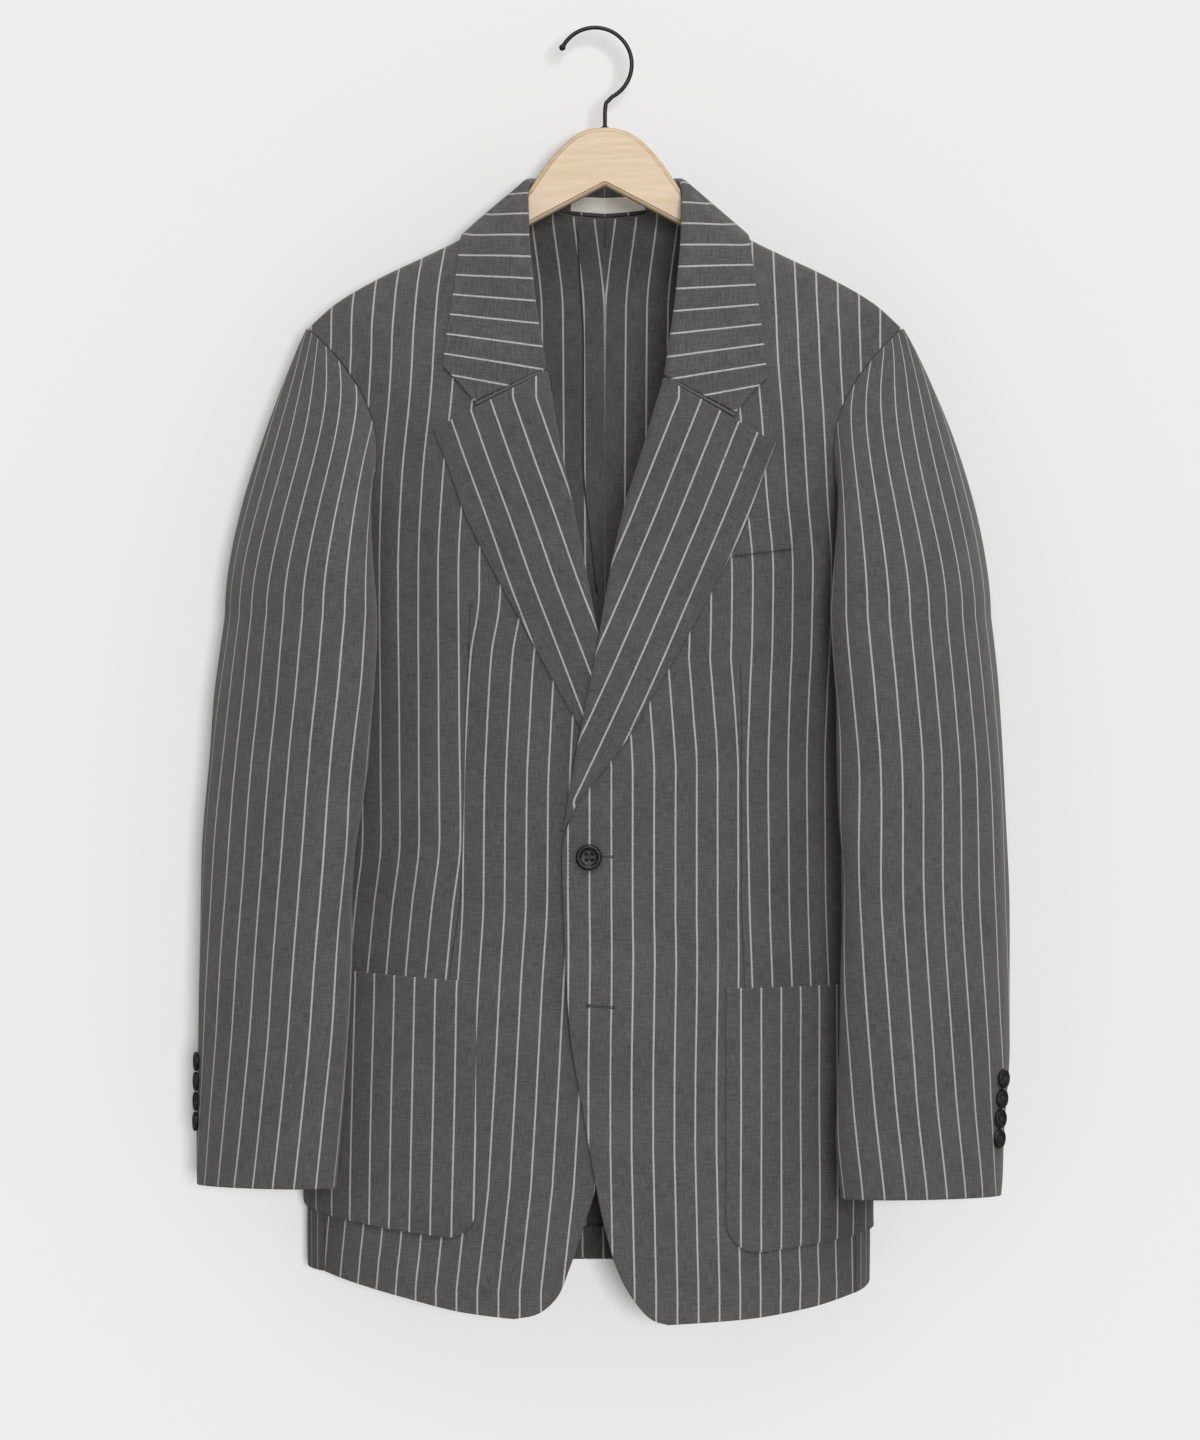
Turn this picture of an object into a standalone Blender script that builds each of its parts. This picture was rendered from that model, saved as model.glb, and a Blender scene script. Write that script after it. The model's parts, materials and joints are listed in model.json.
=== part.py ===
"""Single-breasted jacket hanging on a wooden hanger.

Shapes are worked out in millimetres in the garment's own frame: x to the viewer's right from the
centre-back seam, y to the back, z up from the underside of the crown of the hanger's hook, which
is the part's origin. Cloth is a thin wall: each panel is a grid of points on the garment's
surface, given its thickness by Solidify. Left and right are the viewer's; side is -1 or 1.
"""
import math

import bpy
import numpy as np

MM = 0.001

# ---------------------------------------------------------------- driving sizes (mm)
HANG_X = 4.4              # the garment's centre hangs this far to the right of the hook's crown
CLOTH = 2.0               # wall of the body and the sleeves
FACING = 1.6              # wall of collar, lapels and pockets
SEAM_GAP = 0.3
SHOULDER_GAP = 0.9        # between front and back at the middle of their walls, on the ridge
LAYER = 0.5 * (CLOTH + FACING) + 0.7   # mid-wall to mid-wall of a piece that lies on the body

NECK_HALF = 64.0          # half width of the neck at the shoulder seams
NECK_TOP = -123.0         # height of the shoulder seams at the neck
NECK_BACK = -136.0        # height of the neck seam at the centre back
NECK_DEPTH = 48.0         # how far the neck seam reaches behind the hanger
SIDE_FULLNESS = 2.5       # exponent of the body's oval section
FRONT_ROUND = 160.0       # height over which the front rounds over into the shoulder
BACK_ROUND = 140.0

ARMHOLE_MID, ARMHOLE_HALF = -310.0, 90.0
ARMHOLE_BOW = 0.225       # how far the armhole bows in, as a share of the body's reach
ARMHOLE_TIP = 0.971       # the shoulder tip, as a share of the body's reach
SEAM_PHI = math.radians(150.0)   # angle round the armhole where the side panel's seams meet it
SEAM_RATIO = 0.942        # the same place as a share of the body's reach
SEAM_TOP = ARMHOLE_MID + ARMHOLE_HALF * math.cos(SEAM_PHI)
PANEL_SPLIT = 0.55        # share of a panel's rows that lie below the armhole
NECK_SHARE = 0.36         # share of the back's columns that end at the neck seam
SIDE_CROWD = 1.35         # how strongly a panel's columns crowd towards its side
CORNER_CROWD = 1.6        # and a front's rows towards its hem corner
SHOULDER_REACH = 2.5      # how soon the rows take on the line of the shoulder

# Sections of the body: height, reach to the left and right, depth in front and behind, and how
# far the side hangs back from the middle.
BODY_COLUMNS = ("height", "left", "right", "front", "back", "set_back")
BODY = (
    (-120, 226, 226, 54, 42, 8),
    (-220, 224, 224, 57, 44, 9),
    (-310, 219, 219, 58, 48, 20),
    (-400, 210, 206, 57, 47, 32),
    (-480, 212, 202, 53, 40, 36),
    (-560, 215, 198, 49, 35, 37),
    (-700, 217, 195, 46, 37, 36),
    (-850, 219, 195, 45, 41, 35),
    (-950, 219, 195, 45, 42, 35),
)

# Shoulder seam: distance from the centre, height.
SHOULDER = ((64, -123), (81, -137.5), (103, -153.5), (130, -167), (164, -183), (197, -202),
            (218, -220.5))

# Inner boundary of each front from its hem corner up to the gorge: x, height. Below the button
# it is the front edge, above it the line on which the lapel rolls over.
FRONT_EDGE = {
    1: ((46, -948), (35.8, -945), (20.4, -929), (8.8, -907), (-0.7, -875), (-6.6, -847),
        (-13, -811), (-19, -777), (-24.8, -741), (-27.7, -705), (-30, -656), (-31.4, -602),
        (-31.4, -590), (-28.5, -581), (-25.5, -560), (-19.7, -528), (-13, -493.5), (-5, -453),
        (2.2, -410), (12.4, -361), (28.5, -308), (43, -259)),
    -1: ((-66, -946), (-51, -943), (-34.3, -929), (-25.6, -908), (-20.4, -893), (-14.6, -875),
         (-7.3, -850), (-1.5, -785), (5, -712), (7.3, -639), (8.8, -607), (9.5, -590),
         (8.8, -566), (5.8, -528), (1.5, -493.5), (-5, -449), (-12.4, -410), (-22, -361),
         (-33, -308), (-42.3, -254)),
}
GORGE = {1: -259.0, -1: -254.0}

# Neck seam of the fronts, from the gorge to the shoulder: distance from the centre, height.
FRONT_NECK = ((50, -245), (60, -205), (65.5, -165), (67.5, -140), (65.2, -123))

# Hem of the fronts: distance from the centre, height on the left, height on the right.
HEM = ((40, -946, -948), (100, -940, -945), (150, -929, -938), (195, -917, -926),
       (220, -908, -920))
HEM_LEVEL = -915.0        # level at which the hems' width is read
HEM_BACK = -907.0         # height of the back's hem at the centre
HEM_BACK_SIDE = {1: -914.0, -1: -908.0}

# How far the lapped front stands out over the other one: height, distance.
LAP = ((-410, 0), (-480, 7.5), (-520, 8), (-570, 7), (-615, 5.2), (-670, 5.2), (-700, 8),
       (-730, 8), (-770, 4.6), (-880, 4.2), (-950, 3))
LAP_FULL, LAP_ENDS = 14.0, 85.0
HEM_TURN_HALF = 150.0     # the turned-up hem inside the back: half its width, height, drop right
HEM_TURN_HEIGHT, HEM_TURN_DROP = 24.0, 4.0

# Lapels, a row from the gorge down to the button for each: height where the row leaves the roll
# line, and x and height of its outer edge.
LAPEL_COLUMNS = ("roll", "edge_x", "edge_z")
LAPEL = {
    1: ((-259, 124, -306), (-308, 113, -335), (-361, 103, -363), (-410, 87.6, -395),
        (-453, 57.7, -450), (-493, 36.5, -487), (-528, 19, -517), (-560, -2.2, -545),
        (-580, -20, -566), (-588, -25, -578)),
    -1: ((-254, -125, -296), (-303, -113, -327), (-352, -103, -355), (-400, -87.6, -387),
         (-446, -57.7, -442), (-486, -38, -478), (-518, -22, -506), (-545, -8, -530),
         (-562, 0, -546), (-573, 3.5, -559)),
}
ROLL_RADIUS = 2.6         # of the fold along the roll line, at the gorge
LAPEL_PUFF = 1.6          # how far the lapel's middle stands off the front

# Collar, a row from the centre back round to its point: neck seam, fold and outer edge, each as
# distance from the centre, depth and height, and how far the end's notch cuts in below the row.
COLLAR_COLUMNS = ("seam_x", "seam_y", "seam_z", "fold_x", "fold_y", "fold_z",
                  "edge_x", "edge_y", "edge_z", "notch")
COLLAR = (
    (0, 48, -134, 0, 50, -107, 0, 51, -157, 0),
    (28, 43.2, -131.6, 27, 46.5, -107, 38, 47, -157.5, 0),
    (48.5, 30.5, -126.2, 44, 34, -107.5, 72, 31, -158, 0),
    (59.3, 16.5, -122.6, 51.5, 17, -109, 92, 16, -153, 0),
    (62.5, 0, -120.3, 55.5, 0, -111.5, 104, 0, -150.5, 0),
    (65.6, -21.5, -138.5, 57, -14, -122, 107.5, -24, -171, 0),
    (63.6, -36, -164, 56, -33, -147, 109.5, -33, -190, 0),
    (58.2, -47.5, -204, 52, -51, -197, 113, -39, -221, -2),
    (48.4, -53.8, -244, 46, -58.5, -239, 117, -44, -248, -9),
    (46.0, -55.4, -255.5, 43.2, -58.2, -257, 118, -46, -261.5, -25.6),
)
NOTCH_AT = 0.68           # share of the end row at which the notch lies
LEFT_RISE = 7.0           # the left collar point sits this much higher
FOLD_RADIUS = 2.2
COLLAR_COLS = 13
COLLAR_STAND, COLLAR_TURNED = 3 / COLLAR_COLS, 7 / COLLAR_COLS   # where the fold begins and ends
LAPEL_COLS = 10
LAPEL_TURNED = 4 / LAPEL_COLS

# Sleeves, a row for each level: height, inner and outer distance from the centre, depth of the
# middle, half depth, and how far round the section is turned (degrees).
SLEEVE_COLUMNS = ("height", "inner", "outer", "middle", "half_depth", "turn")
SLEEVE = {
    -1: ((-430, 167, 277.8, -30, 50, 32), (-493, 168.3, 285.8, -35, 47, 34),
         (-523, 170, 288, -37, 45, 35), (-605, 181.8, 294, -39, 42, 35),
         (-690, 184.7, 295.7, -39, 40, 34), (-775, 189.8, 297, -37, 38, 32),
         (-847, 196.4, 297.8, -35, 36, 30)),
    1: ((-430, 165, 282, -30, 50, 30), (-485, 167, 287.6, -35, 47, 32),
        (-547, 169.4, 291, -38, 44, 33), (-645, 172.3, 295, -39, 41, 32),
        (-742, 171, 295, -38, 38, 30), (-807, 168.6, 291, -36, 36, 28),
        (-855, 172.3, 289, -35, 35, 27)),
}
SLEEVE_CAP = 0.34         # share of the sleeve's length down to its first level section
SLEEVE_CAP_END = -430.0   # and the height of that section
SLEEVE_TWIST = math.radians(86.0)   # the sleeve's underarm lies this far round to the back
SLEEVE_LEAN = 0.4         # and its front turns in ahead of that
HEAD_SPREAD = {-1: 0.22, 1: 0.32}   # how far the sleeve's head swells out from the shoulder
SLEEVE_SET_OUT = 2.3      # the sleeve's seam lies this far outside the armhole's
SLEEVE_SET_UP = 2.8       # and this far above its lowest point
FOREARM_SEAM = math.radians(164.0)   # seams, as places round the sleeve
HINDARM_SEAM = math.radians(333.0)

BUTTON_X, BUTTON_RADIUS = -11.7, 9.5
BUTTON_THICKNESS = {"button_front": 3.4, "button_lower": 2.8}
BUTTON_HEIGHTS = {"button_front": -607.0, "button_lower": -715.0}
CUFF_BUTTON_ANGLE = {-1: math.radians(8.0), 1: math.radians(24.0)}
CUFF_BUTTON_TOP = {-1: -757.0, 1: -768.7}
CUFF_BUTTON_PITCH, CUFF_BUTTON_RADIUS, CUFF_BUTTON_THICKNESS = 14.6, 7.2, 3.0
CUFF_BUTTONS = 4

# Patch pockets: x and height of the top inner corner, rise of the top line to the side, height
# of the bottom line, its rise to the side, width along the cloth and corner radius.
POCKET = {1: (87.6, -703, 3, -896, 16, 150, 24), -1: (-93.4, -698, 14, -885, 20, 158, 22)}
POCKET_SAG = 0.9          # the pocket's side stands off the body by this much more
POCKET_ROW_CROWD, POCKET_COLUMN_CROWD = 1.8, 1.5
# Breast pocket's welt: x of its inner and outer ends at the bottom and at the top, height.
WELT_INNER, WELT_OUTER = (91.5, 104.6), (137.2, 139.4)
WELT_BOTTOM, WELT_HEIGHT, WELT_RISE = -388.4, 26.4, 6.0
# Neck label: x of its two ends, and where it begins and ends up the collar's stand.
LABEL_ENDS, LABEL_ROWS, LABEL_WALL = (-25.5, 30.5), (0.02, 0.13), 0.8

WOOD_DEPTH = 11.0
WOOD_REACH = 190.0        # half length of the hanger
WOOD_UNDER = 0.5 * CLOTH + 1.6   # its top lies this far under the shoulder seams' mid-wall
WOOD_TIP_DROP = 4.0       # and this much further at its ends
# Hanger: distance from its middle and height, of its top up to the neck and of its underside.
WOOD_TOP = ((0, -72), (10, -73), (20, -76.8), (30, -84.5), (40, -95.5), (50, -109.5),
            (57, -119.5), (64, -126.5))
WOOD_BOTTOM = ((0, -115), (57, -145), (103, -171), (164, -203), (190, -216))
HOOK_WIRE = 3.0
HOOK_RADIUS = 27.0
HOOK_CENTRE = (-2.9, -25.5)
HOOK_TURN = (158.0, -62.0)       # degrees, from its tip over the top to where it comes back in
HOOK_STEM = ((5.2, -54.0), (4.6, -58.0), (4.4, -62.0), (4.4, -71.5))
HOOK_BALL = (0.7, 1.35, 1.3)     # swelling of the wire at its tip


# ---------------------------------------------------------------- curves through tables
def column(table, names, name):
    return [row[names.index(name)] for row in table]


def smooth(at, stations, values):
    """Read values off the smooth curve through (station, value) pairs, without overshoot."""
    s = np.asarray(stations, float)
    v = np.asarray(values, float)
    if s[0] > s[-1]:
        s, v = s[::-1], v[::-1]
    step = np.diff(s)
    rise = np.diff(v) / step
    slope = np.empty_like(v)
    slope[0], slope[-1] = rise[0], rise[-1]
    before, after = rise[:-1], rise[1:]
    total = np.where(np.abs(before + after) < 1e-9, 1.0, before + after)
    slope[1:-1] = np.where(before * after > 0, 2 * before * after / total, 0.0)
    at = np.clip(np.asarray(at, float), s[0], s[-1])
    i = np.clip(np.searchsorted(s, at) - 1, 0, len(s) - 2)
    t = (at - s[i]) / step[i]
    return ((2 * t**3 - 3 * t**2 + 1) * v[i] + (t**3 - 2 * t**2 + t) * step[i] * slope[i]
            + (3 * t**2 - 2 * t**3) * v[i + 1] + (t**3 - t**2) * step[i] * slope[i + 1])


def fade(at, start, end):
    """0 before start, 1 past end, with a soft step between."""
    t = np.clip((np.asarray(at, float) - start) / (end - start), 0, 1)
    return t * t * (3 - 2 * t)


# ---------------------------------------------------------------- the body's surface
def body(name, z):
    return smooth(z, column(BODY, BODY_COLUMNS, "height"), column(BODY, BODY_COLUMNS, name))


def reach(side, z):
    """Half width of the body at height z on that side."""
    return body("right" if side > 0 else "left", z)


def share(x, z):
    """Distance of x from the centre as a share of the body's reach there."""
    wide = np.where(np.asarray(x) > 0, reach(1, z), reach(-1, z))
    return np.clip(np.abs(x) / wide, 0, 1)


def hollow(ratio):
    return (1 - ratio**SIDE_FULLNESS) ** (1 / SIDE_FULLNESS)


def shoulder_top(x):
    distance, height = zip(*SHOULDER)
    return smooth(np.abs(x), distance, height)


def neck_line(x):
    """Height of the back's upper edge: the neck seam, then the shoulder seam."""
    across = np.clip(np.abs(x) / NECK_HALF, 0, 1)
    return np.where(across < 1, NECK_BACK + (NECK_TOP - NECK_BACK) * across**2, shoulder_top(x))


def rounding(top, z, height):
    """Share of its full depth that the cloth has reached at z below its upper edge."""
    drop = np.clip((top - z) / height, 0, 1)
    return np.sqrt(1 - (1 - drop) ** 2)


def chest_y(x, z):
    ratio = share(x, z)
    return body("set_back", z) * ratio**2 - body("front", z) * hollow(ratio)


def blade_y(x, z):
    ratio = share(x, z)
    return body("set_back", z) * ratio**2 + body("back", z) * hollow(ratio)


def front_y(x, z):
    return chest_y(x, z) * rounding(shoulder_top(x), z, FRONT_ROUND)


def back_y(x, z):
    neck = NECK_DEPTH * np.sqrt(1 - np.clip(np.abs(x) / NECK_HALF, 0, 1) ** 2)
    return neck + (blade_y(x, z) - neck) * rounding(neck_line(x), z, BACK_ROUND)


def lapped_y(side, x, z):
    """Depth of a front. The right one stands out where it laps over the left one."""
    y = front_y(x, z)
    if side > 0:
        height, distance = zip(*LAP)
        y = y - smooth(z, height, distance) * (1 - fade(x, LAP_FULL, LAP_ENDS))
    return y


def hem_z(side, x):
    distance, left, right = zip(*HEM)
    return smooth(np.abs(x), distance, right if side > 0 else left)


def armhole(side, phi):
    """A point of the armhole seam; phi runs from the shoulder tip (0) forwards and down."""
    z = ARMHOLE_MID + ARMHOLE_HALF * np.cos(phi)
    ratio = 1 - (1 - ARMHOLE_TIP) * (1 + np.cos(phi)) / 2 - ARMHOLE_BOW * np.sin(phi) ** 2
    x = side * ratio * reach(side, z)
    y = np.where(np.sin(phi) >= 0, front_y(x, z), back_y(x, z))
    return x, y, z


def ring(side, z, samples=160):
    """Half a section of the body at height z, from the centre front round to the centre back:
    girth from the centre front, x, y and the outward normal."""
    turn = np.linspace(0, math.pi, samples)
    ratio = np.sin(turn) ** (2 / SIDE_FULLNESS)
    x = side * ratio * reach(side, z)
    level = np.full(samples, float(z))
    y = np.where(turn < math.pi / 2, front_y(x, level), back_y(x, level))
    girth = np.concatenate(([0], np.cumsum(np.hypot(np.diff(x), np.diff(y)))))
    along_x, along_y = np.gradient(x, girth), np.gradient(y, girth)
    size = np.hypot(along_x, along_y)
    return girth, x, y, side * along_y / size, -side * along_x / size


# ---------------------------------------------------------------- panels
def front_boundary(side, t_low, t_high):
    """Inner boundary of a front at t_low (hem corner 0, level with the side seam's top 1) or, if
    t_high > 0, at that share of the way from there up to the neck."""
    x, z = map(np.asarray, zip(*FRONT_EDGE[side]))
    neck_x, neck_z = map(np.asarray, zip(*FRONT_NECK))
    x = np.concatenate((x + side * lapel_roll(side, z), side * neck_x))
    z = np.concatenate((z, neck_z))
    below = np.where(z < SEAM_TOP)[0]
    low_x = np.append(x[below], smooth(SEAM_TOP, z, x))
    low_z = np.append(z[below], SEAM_TOP)
    run = np.concatenate(([0], np.cumsum(np.hypot(np.diff(low_x), np.diff(low_z)))))
    run = run / run[-1]
    if t_high > 0:
        height = SEAM_TOP + (NECK_TOP - SEAM_TOP) * math.sin(t_high * math.pi / 2)
        return float(smooth(height, z, x)), height
    at = t_low**CORNER_CROWD
    return float(smooth(at, run, low_x)), float(smooth(at, run, low_z))


def lapel_roll(side, z):
    """How far a front stops short of its roll line, where the lapel's fold takes over."""
    lowest = LAPEL[side][-1][0]
    return np.where(z > lowest - 4, roll_radius(side, z) + SEAM_GAP + 0.5, 0.0)


def roll_radius(side, z):
    down = np.clip((GORGE[side] - z) / (GORGE[side] - LAPEL[side][-1][0]), 0, 1)
    return ROLL_RADIUS * (1 - 0.42 * down)


def front_point(side, u, v):
    """Front panel: u from the inner boundary to the side, v from the hem to the shoulder."""
    low = min(v / PANEL_SPLIT, 1.0)
    high = max((v - PANEL_SPLIT) / (1 - PANEL_SPLIT), 0.0)
    inner_x, inner_z = front_boundary(side, low, high)
    if high > 0:
        outer_x, _, outer_z = armhole(side, SEAM_PHI * (1 - high))
        outer_x = outer_x - side * SEAM_GAP
    else:
        start = front_boundary(side, 0.0, 0.0)[1]
        rise = (inner_z - start) / (SEAM_TOP - start)
        edge = hem_z(side, SEAM_RATIO * reach(side, HEM_LEVEL))
        outer_z = edge + (SEAM_TOP - edge) * rise
        outer_x = side * (SEAM_RATIO * reach(side, outer_z) - SEAM_GAP)
    across = 1 - (1 - u) ** SIDE_CROWD
    x = inner_x + (outer_x - inner_x) * across
    z = inner_z + (outer_z - inner_z) * across
    if high > 0:
        tip_x, _, tip_z = armhole(side, 0.0)
        seam_x = FRONT_NECK[-1][0] + (abs(tip_x) - FRONT_NECK[-1][0]) * across
        z += (shoulder_top(seam_x) - NECK_TOP - (tip_z - NECK_TOP) * across) * high**SHOULDER_REACH
    else:
        start_x, start_z = front_boundary(side, 0.0, 0.0)
        line = start_z + (edge - start_z) * across
        hem_x = start_x + (side * SEAM_RATIO * reach(side, HEM_LEVEL) - start_x) * across
        z += (hem_z(side, hem_x) - line) * (1 - rise) ** 3
    y = lapped_y(side, x, z)
    return float(x), float(y) - 0.5 * SHOULDER_GAP, float(z)


def back_point(side, u, v):
    """Half of the back: u from the centre seam to the side, v from the hem to the shoulder."""
    low = min(v / PANEL_SPLIT, 1.0)
    high = max((v - PANEL_SPLIT) / (1 - PANEL_SPLIT), 0.0)
    inner_x = side * 0.5 * SEAM_GAP
    if high > 0:
        inner_z = SEAM_TOP + (NECK_BACK - SEAM_TOP) * math.sin(high * math.pi / 2)
        outer_x, _, outer_z = armhole(side, -SEAM_PHI * (1 - high))
        outer_x = outer_x - side * SEAM_GAP
    else:
        inner_z = HEM_BACK + (SEAM_TOP - HEM_BACK) * low
        outer_z = HEM_BACK_SIDE[side] + (SEAM_TOP - HEM_BACK_SIDE[side]) * low
        outer_x = side * (SEAM_RATIO * reach(side, outer_z) - SEAM_GAP)
    across = 1 - (1 - u) ** SIDE_CROWD
    turn = min(u / NECK_SHARE, 1.0)
    beyond = max((u - NECK_SHARE) / (1 - NECK_SHARE), 0.0)
    at_neck = NECK_HALF * math.sin(turn * math.pi / 2) + (abs(outer_x) - NECK_HALF) * beyond
    x_level = inner_x + (outer_x - inner_x) * across
    x = x_level + (side * max(at_neck, abs(inner_x)) - x_level) * high**3
    z = inner_z + (outer_z - inner_z) * across
    if high > 0:
        tip_x, _, tip_z = armhole(side, 0.0)
        seam_x = NECK_HALF * math.sin(turn * math.pi / 2) + (abs(tip_x) - NECK_HALF) * beyond
        z += (neck_line(seam_x) - NECK_BACK - (tip_z - NECK_BACK) * across) * high**SHOULDER_REACH
    return float(x), float(back_y(x, z)) + 0.5 * SHOULDER_GAP, float(z)


def side_point(side, u, v):
    """Side panel: u from the front seam round to the back seam, v from the hem to the armhole."""
    turn = 2 * u - 1
    phi = math.pi + (math.pi - SEAM_PHI) * turn
    front_hem = float(hem_z(side, SEAM_RATIO * reach(side, HEM_LEVEL)))
    hem = front_hem + (HEM_BACK_SIDE[side] - front_hem) * u
    top = ARMHOLE_MID + ARMHOLE_HALF * math.cos(phi)
    z = hem + (top - hem) * v
    inset = 1.5 * SEAM_GAP / (1 - SEAM_RATIO) / reach(side, z)
    ratio = 1 - (1 - SEAM_RATIO) * turn**2 * (1 - inset)
    x = side * ratio * reach(side, z)
    depth = body("back", z) if turn > 0 else -body("front", z)
    y = body("set_back", z) * ratio**2 + depth * hollow(ratio)
    round_over = rounding(shoulder_top(x), z, BACK_ROUND if turn > 0 else FRONT_ROUND)
    return float(x), float(y * round_over), float(z)


# ---------------------------------------------------------------- sleeves
def sleeve_value(side, name, z):
    table = SLEEVE[side]
    return smooth(z, column(table, SLEEVE_COLUMNS, "height"), column(table, SLEEVE_COLUMNS, name))


def sleeve_level(side, angle, z):
    """A point of the sleeve's level section; angle 0 is its outer edge, 90 degrees its front."""
    inner, outer = sleeve_value(side, "inner", z), sleeve_value(side, "outer", z)
    half = 0.5 * (outer - inner)
    turn = np.radians(sleeve_value(side, "turn", z))
    x = side * (inner + half + half * np.cos(angle))
    y = sleeve_value(side, "middle", z) - sleeve_value(side, "half_depth", z) * np.sin(angle - turn)
    return np.array((float(x), float(y), float(z)))


def sleeve_angles(place):
    """Angle round the armhole and angle round the level sections at one place round the sleeve,
    midway between the two. They differ by the twist at the underarm."""
    phi = place
    for _ in range(24):
        twist = SLEEVE_TWIST * math.sin(0.5 * phi + SLEEVE_LEAN * math.sin(0.5 * phi) ** 2) ** 2
        phi = place - 0.5 * twist
    return phi, phi + twist


def sleeve_point(side, place, v):
    """Sleeve: place round it in radians, v from 0 at the armhole to 1 at the cuff."""
    phi, angle = sleeve_angles(place)
    hem = SLEEVE[side][-1][0]
    if v >= SLEEVE_CAP:
        return tuple(sleeve_level(side, angle, SLEEVE_CAP_END + (hem - SLEEVE_CAP_END)
                                  * (v - SLEEVE_CAP) / (1 - SLEEVE_CAP)))
    under = 0.5 * (1 - math.cos(phi))
    start = np.array([float(value) for value in armhole(side, phi)])
    start += np.array((side * SLEEVE_SET_OUT, 0.0, SLEEVE_SET_UP * under**2))
    end = sleeve_level(side, angle, SLEEVE_CAP_END)
    span = float(np.linalg.norm(end - start))
    forward = 0.40 + 0.6 * under if math.sin(phi) > 0 else 0.2
    leave = np.array((side * (0.08 + HEAD_SPREAD[side] * max(math.cos(phi), 0) + 0.6 * under**4
                              + 0.3 * max(-math.sin(phi), 0)),
                      -math.sin(phi) * forward, -0.72 + 0.5 * under))
    arrive = np.array((0.0, 0.0, -1.0))
    t = v / SLEEVE_CAP
    blend = ((2 * t**3 - 3 * t**2 + 1) * start + (t**3 - 2 * t**2 + t) * span * leave
             + (3 * t**2 - 2 * t**3) * end + (t**3 - t**2) * span * 0.9 * arrive)
    return tuple(blend)


# ---------------------------------------------------------------- collar and lapels
def keep_clear(x, y, z, lift):
    """Move a point out until it lies at least lift off the rounded shoulder."""
    behind = y > 0
    height = BACK_ROUND if behind else FRONT_ROUND
    top = float(neck_line(x)) if behind else float(shoulder_top(x))
    floor = top - height
    wide = abs(float(blade_y(x, z) if behind else chest_y(x, z)))
    across, up = abs(y) / wide, max((z - floor) / height, 0.0)
    out = math.hypot(across, up)
    needed = 1 + lift * math.hypot(across / wide, up / height) / out
    if out < needed:
        y *= needed / out
        if z > floor:
            z = floor + (z - floor) * needed / out
    return x, y, z


def collar_row(along):
    """Neck seam, fold, outer edge and notch of the collar at along, -1 and 1 being its ends."""
    side = 1 if along >= 0 else -1
    at = abs(along) * (len(COLLAR) - 1)
    stations = range(len(COLLAR))
    value = {name: float(smooth(at, stations, column(COLLAR, COLLAR_COLUMNS, name)))
             for name in COLLAR_COLUMNS}
    rise = LEFT_RISE * float(fade(at, 5, 9)) if side < 0 else 0.0
    points = [np.array((side * value[part + "_x"], value[part + "_y"], value[part + "_z"] + rise * k))
              for part, k in (("seam", 0.7), ("fold", 0.7), ("edge", 1.2))]
    return points + [value["notch"]]


def collar_point(across, along):
    """Collar: across from the neck seam (0) over the fold to the outer edge (1)."""
    seam, fold, edge, notch = collar_row(along)
    up = fold - 0.5 * (seam + edge)
    up /= np.linalg.norm(up)
    out = edge - seam
    out -= up * out.dot(up)
    out /= np.linalg.norm(out)
    centre = fold - FOLD_RADIUS * up
    stand, turned = COLLAR_STAND, COLLAR_TURNED
    if across <= stand:
        return tuple(seam + (centre - FOLD_RADIUS * out - seam) * across / stand)
    if across <= turned:
        angle = math.pi * (across - stand) / (turned - stand)
        return tuple(centre - FOLD_RADIUS * out * math.cos(angle) + FOLD_RADIUS * up * math.sin(angle))
    t = (across - turned) / (1 - turned)
    point = centre + FOLD_RADIUS * out
    point = point + (edge - point) * t
    point[2] += notch * (t / NOTCH_AT if t < NOTCH_AT else (1 - t) / (1 - NOTCH_AT))
    return keep_clear(*point, LAYER + 1.2)


def lapel_point(side, across, along):
    """Lapel: across from the roll line (0) to the outer edge (1), along from the gorge down."""
    table = LAPEL[side]
    at = along * (len(table) - 1)
    roll_z, edge_x, edge_z = (float(smooth(at, range(len(table)), column(table, LAPEL_COLUMNS, name)))
                              for name in LAPEL_COLUMNS)
    line_x, line_z = zip(*FRONT_EDGE[side])
    roll_x = float(smooth(roll_z, line_z, line_x))
    span = math.hypot(edge_x - roll_x, edge_z - roll_z)
    out_x, out_z = (edge_x - roll_x) / span, (edge_z - roll_z) / span
    radius = float(roll_radius(side, roll_z))
    turned = LAPEL_TURNED
    if across <= turned:
        angle = math.pi * across / turned
        run, lift = radius - radius * math.sin(angle), radius - radius * math.cos(angle)
    else:
        t = (across - turned) / (1 - turned)
        run = radius + (span - radius) * t
        lift = 2 * radius + (LAYER - 2 * radius) * t + LAPEL_PUFF * math.sin(math.pi * t) * min(1, span / 60)
    x, z = roll_x + out_x * run, roll_z + out_z * run
    return x, float(lapped_y(side, x, z)) - lift - 0.5 * SEAM_GAP, z


# ---------------------------------------------------------------- pieces laid on the body
def on_body(side, girth, z, lift):
    """The point at that girth from the centre front, moved out from the body by lift."""
    run, x, y, out_x, out_y = ring(side, z)
    at = [float(np.interp(girth, run, values)) for values in (x, y, out_x, out_y)]
    shift = float(lapped_y(side, at[0], z) - front_y(at[0], z)) if at[3] < 0 else 0.0
    return at[0] + lift * at[2], at[1] + lift * at[3] + shift, z


def girth_at(side, x, z):
    run, ring_x, *_ = ring(side, z)
    half = len(run) // 2
    return float(np.interp(abs(x), np.abs(ring_x[:half]), run[:half]))


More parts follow.
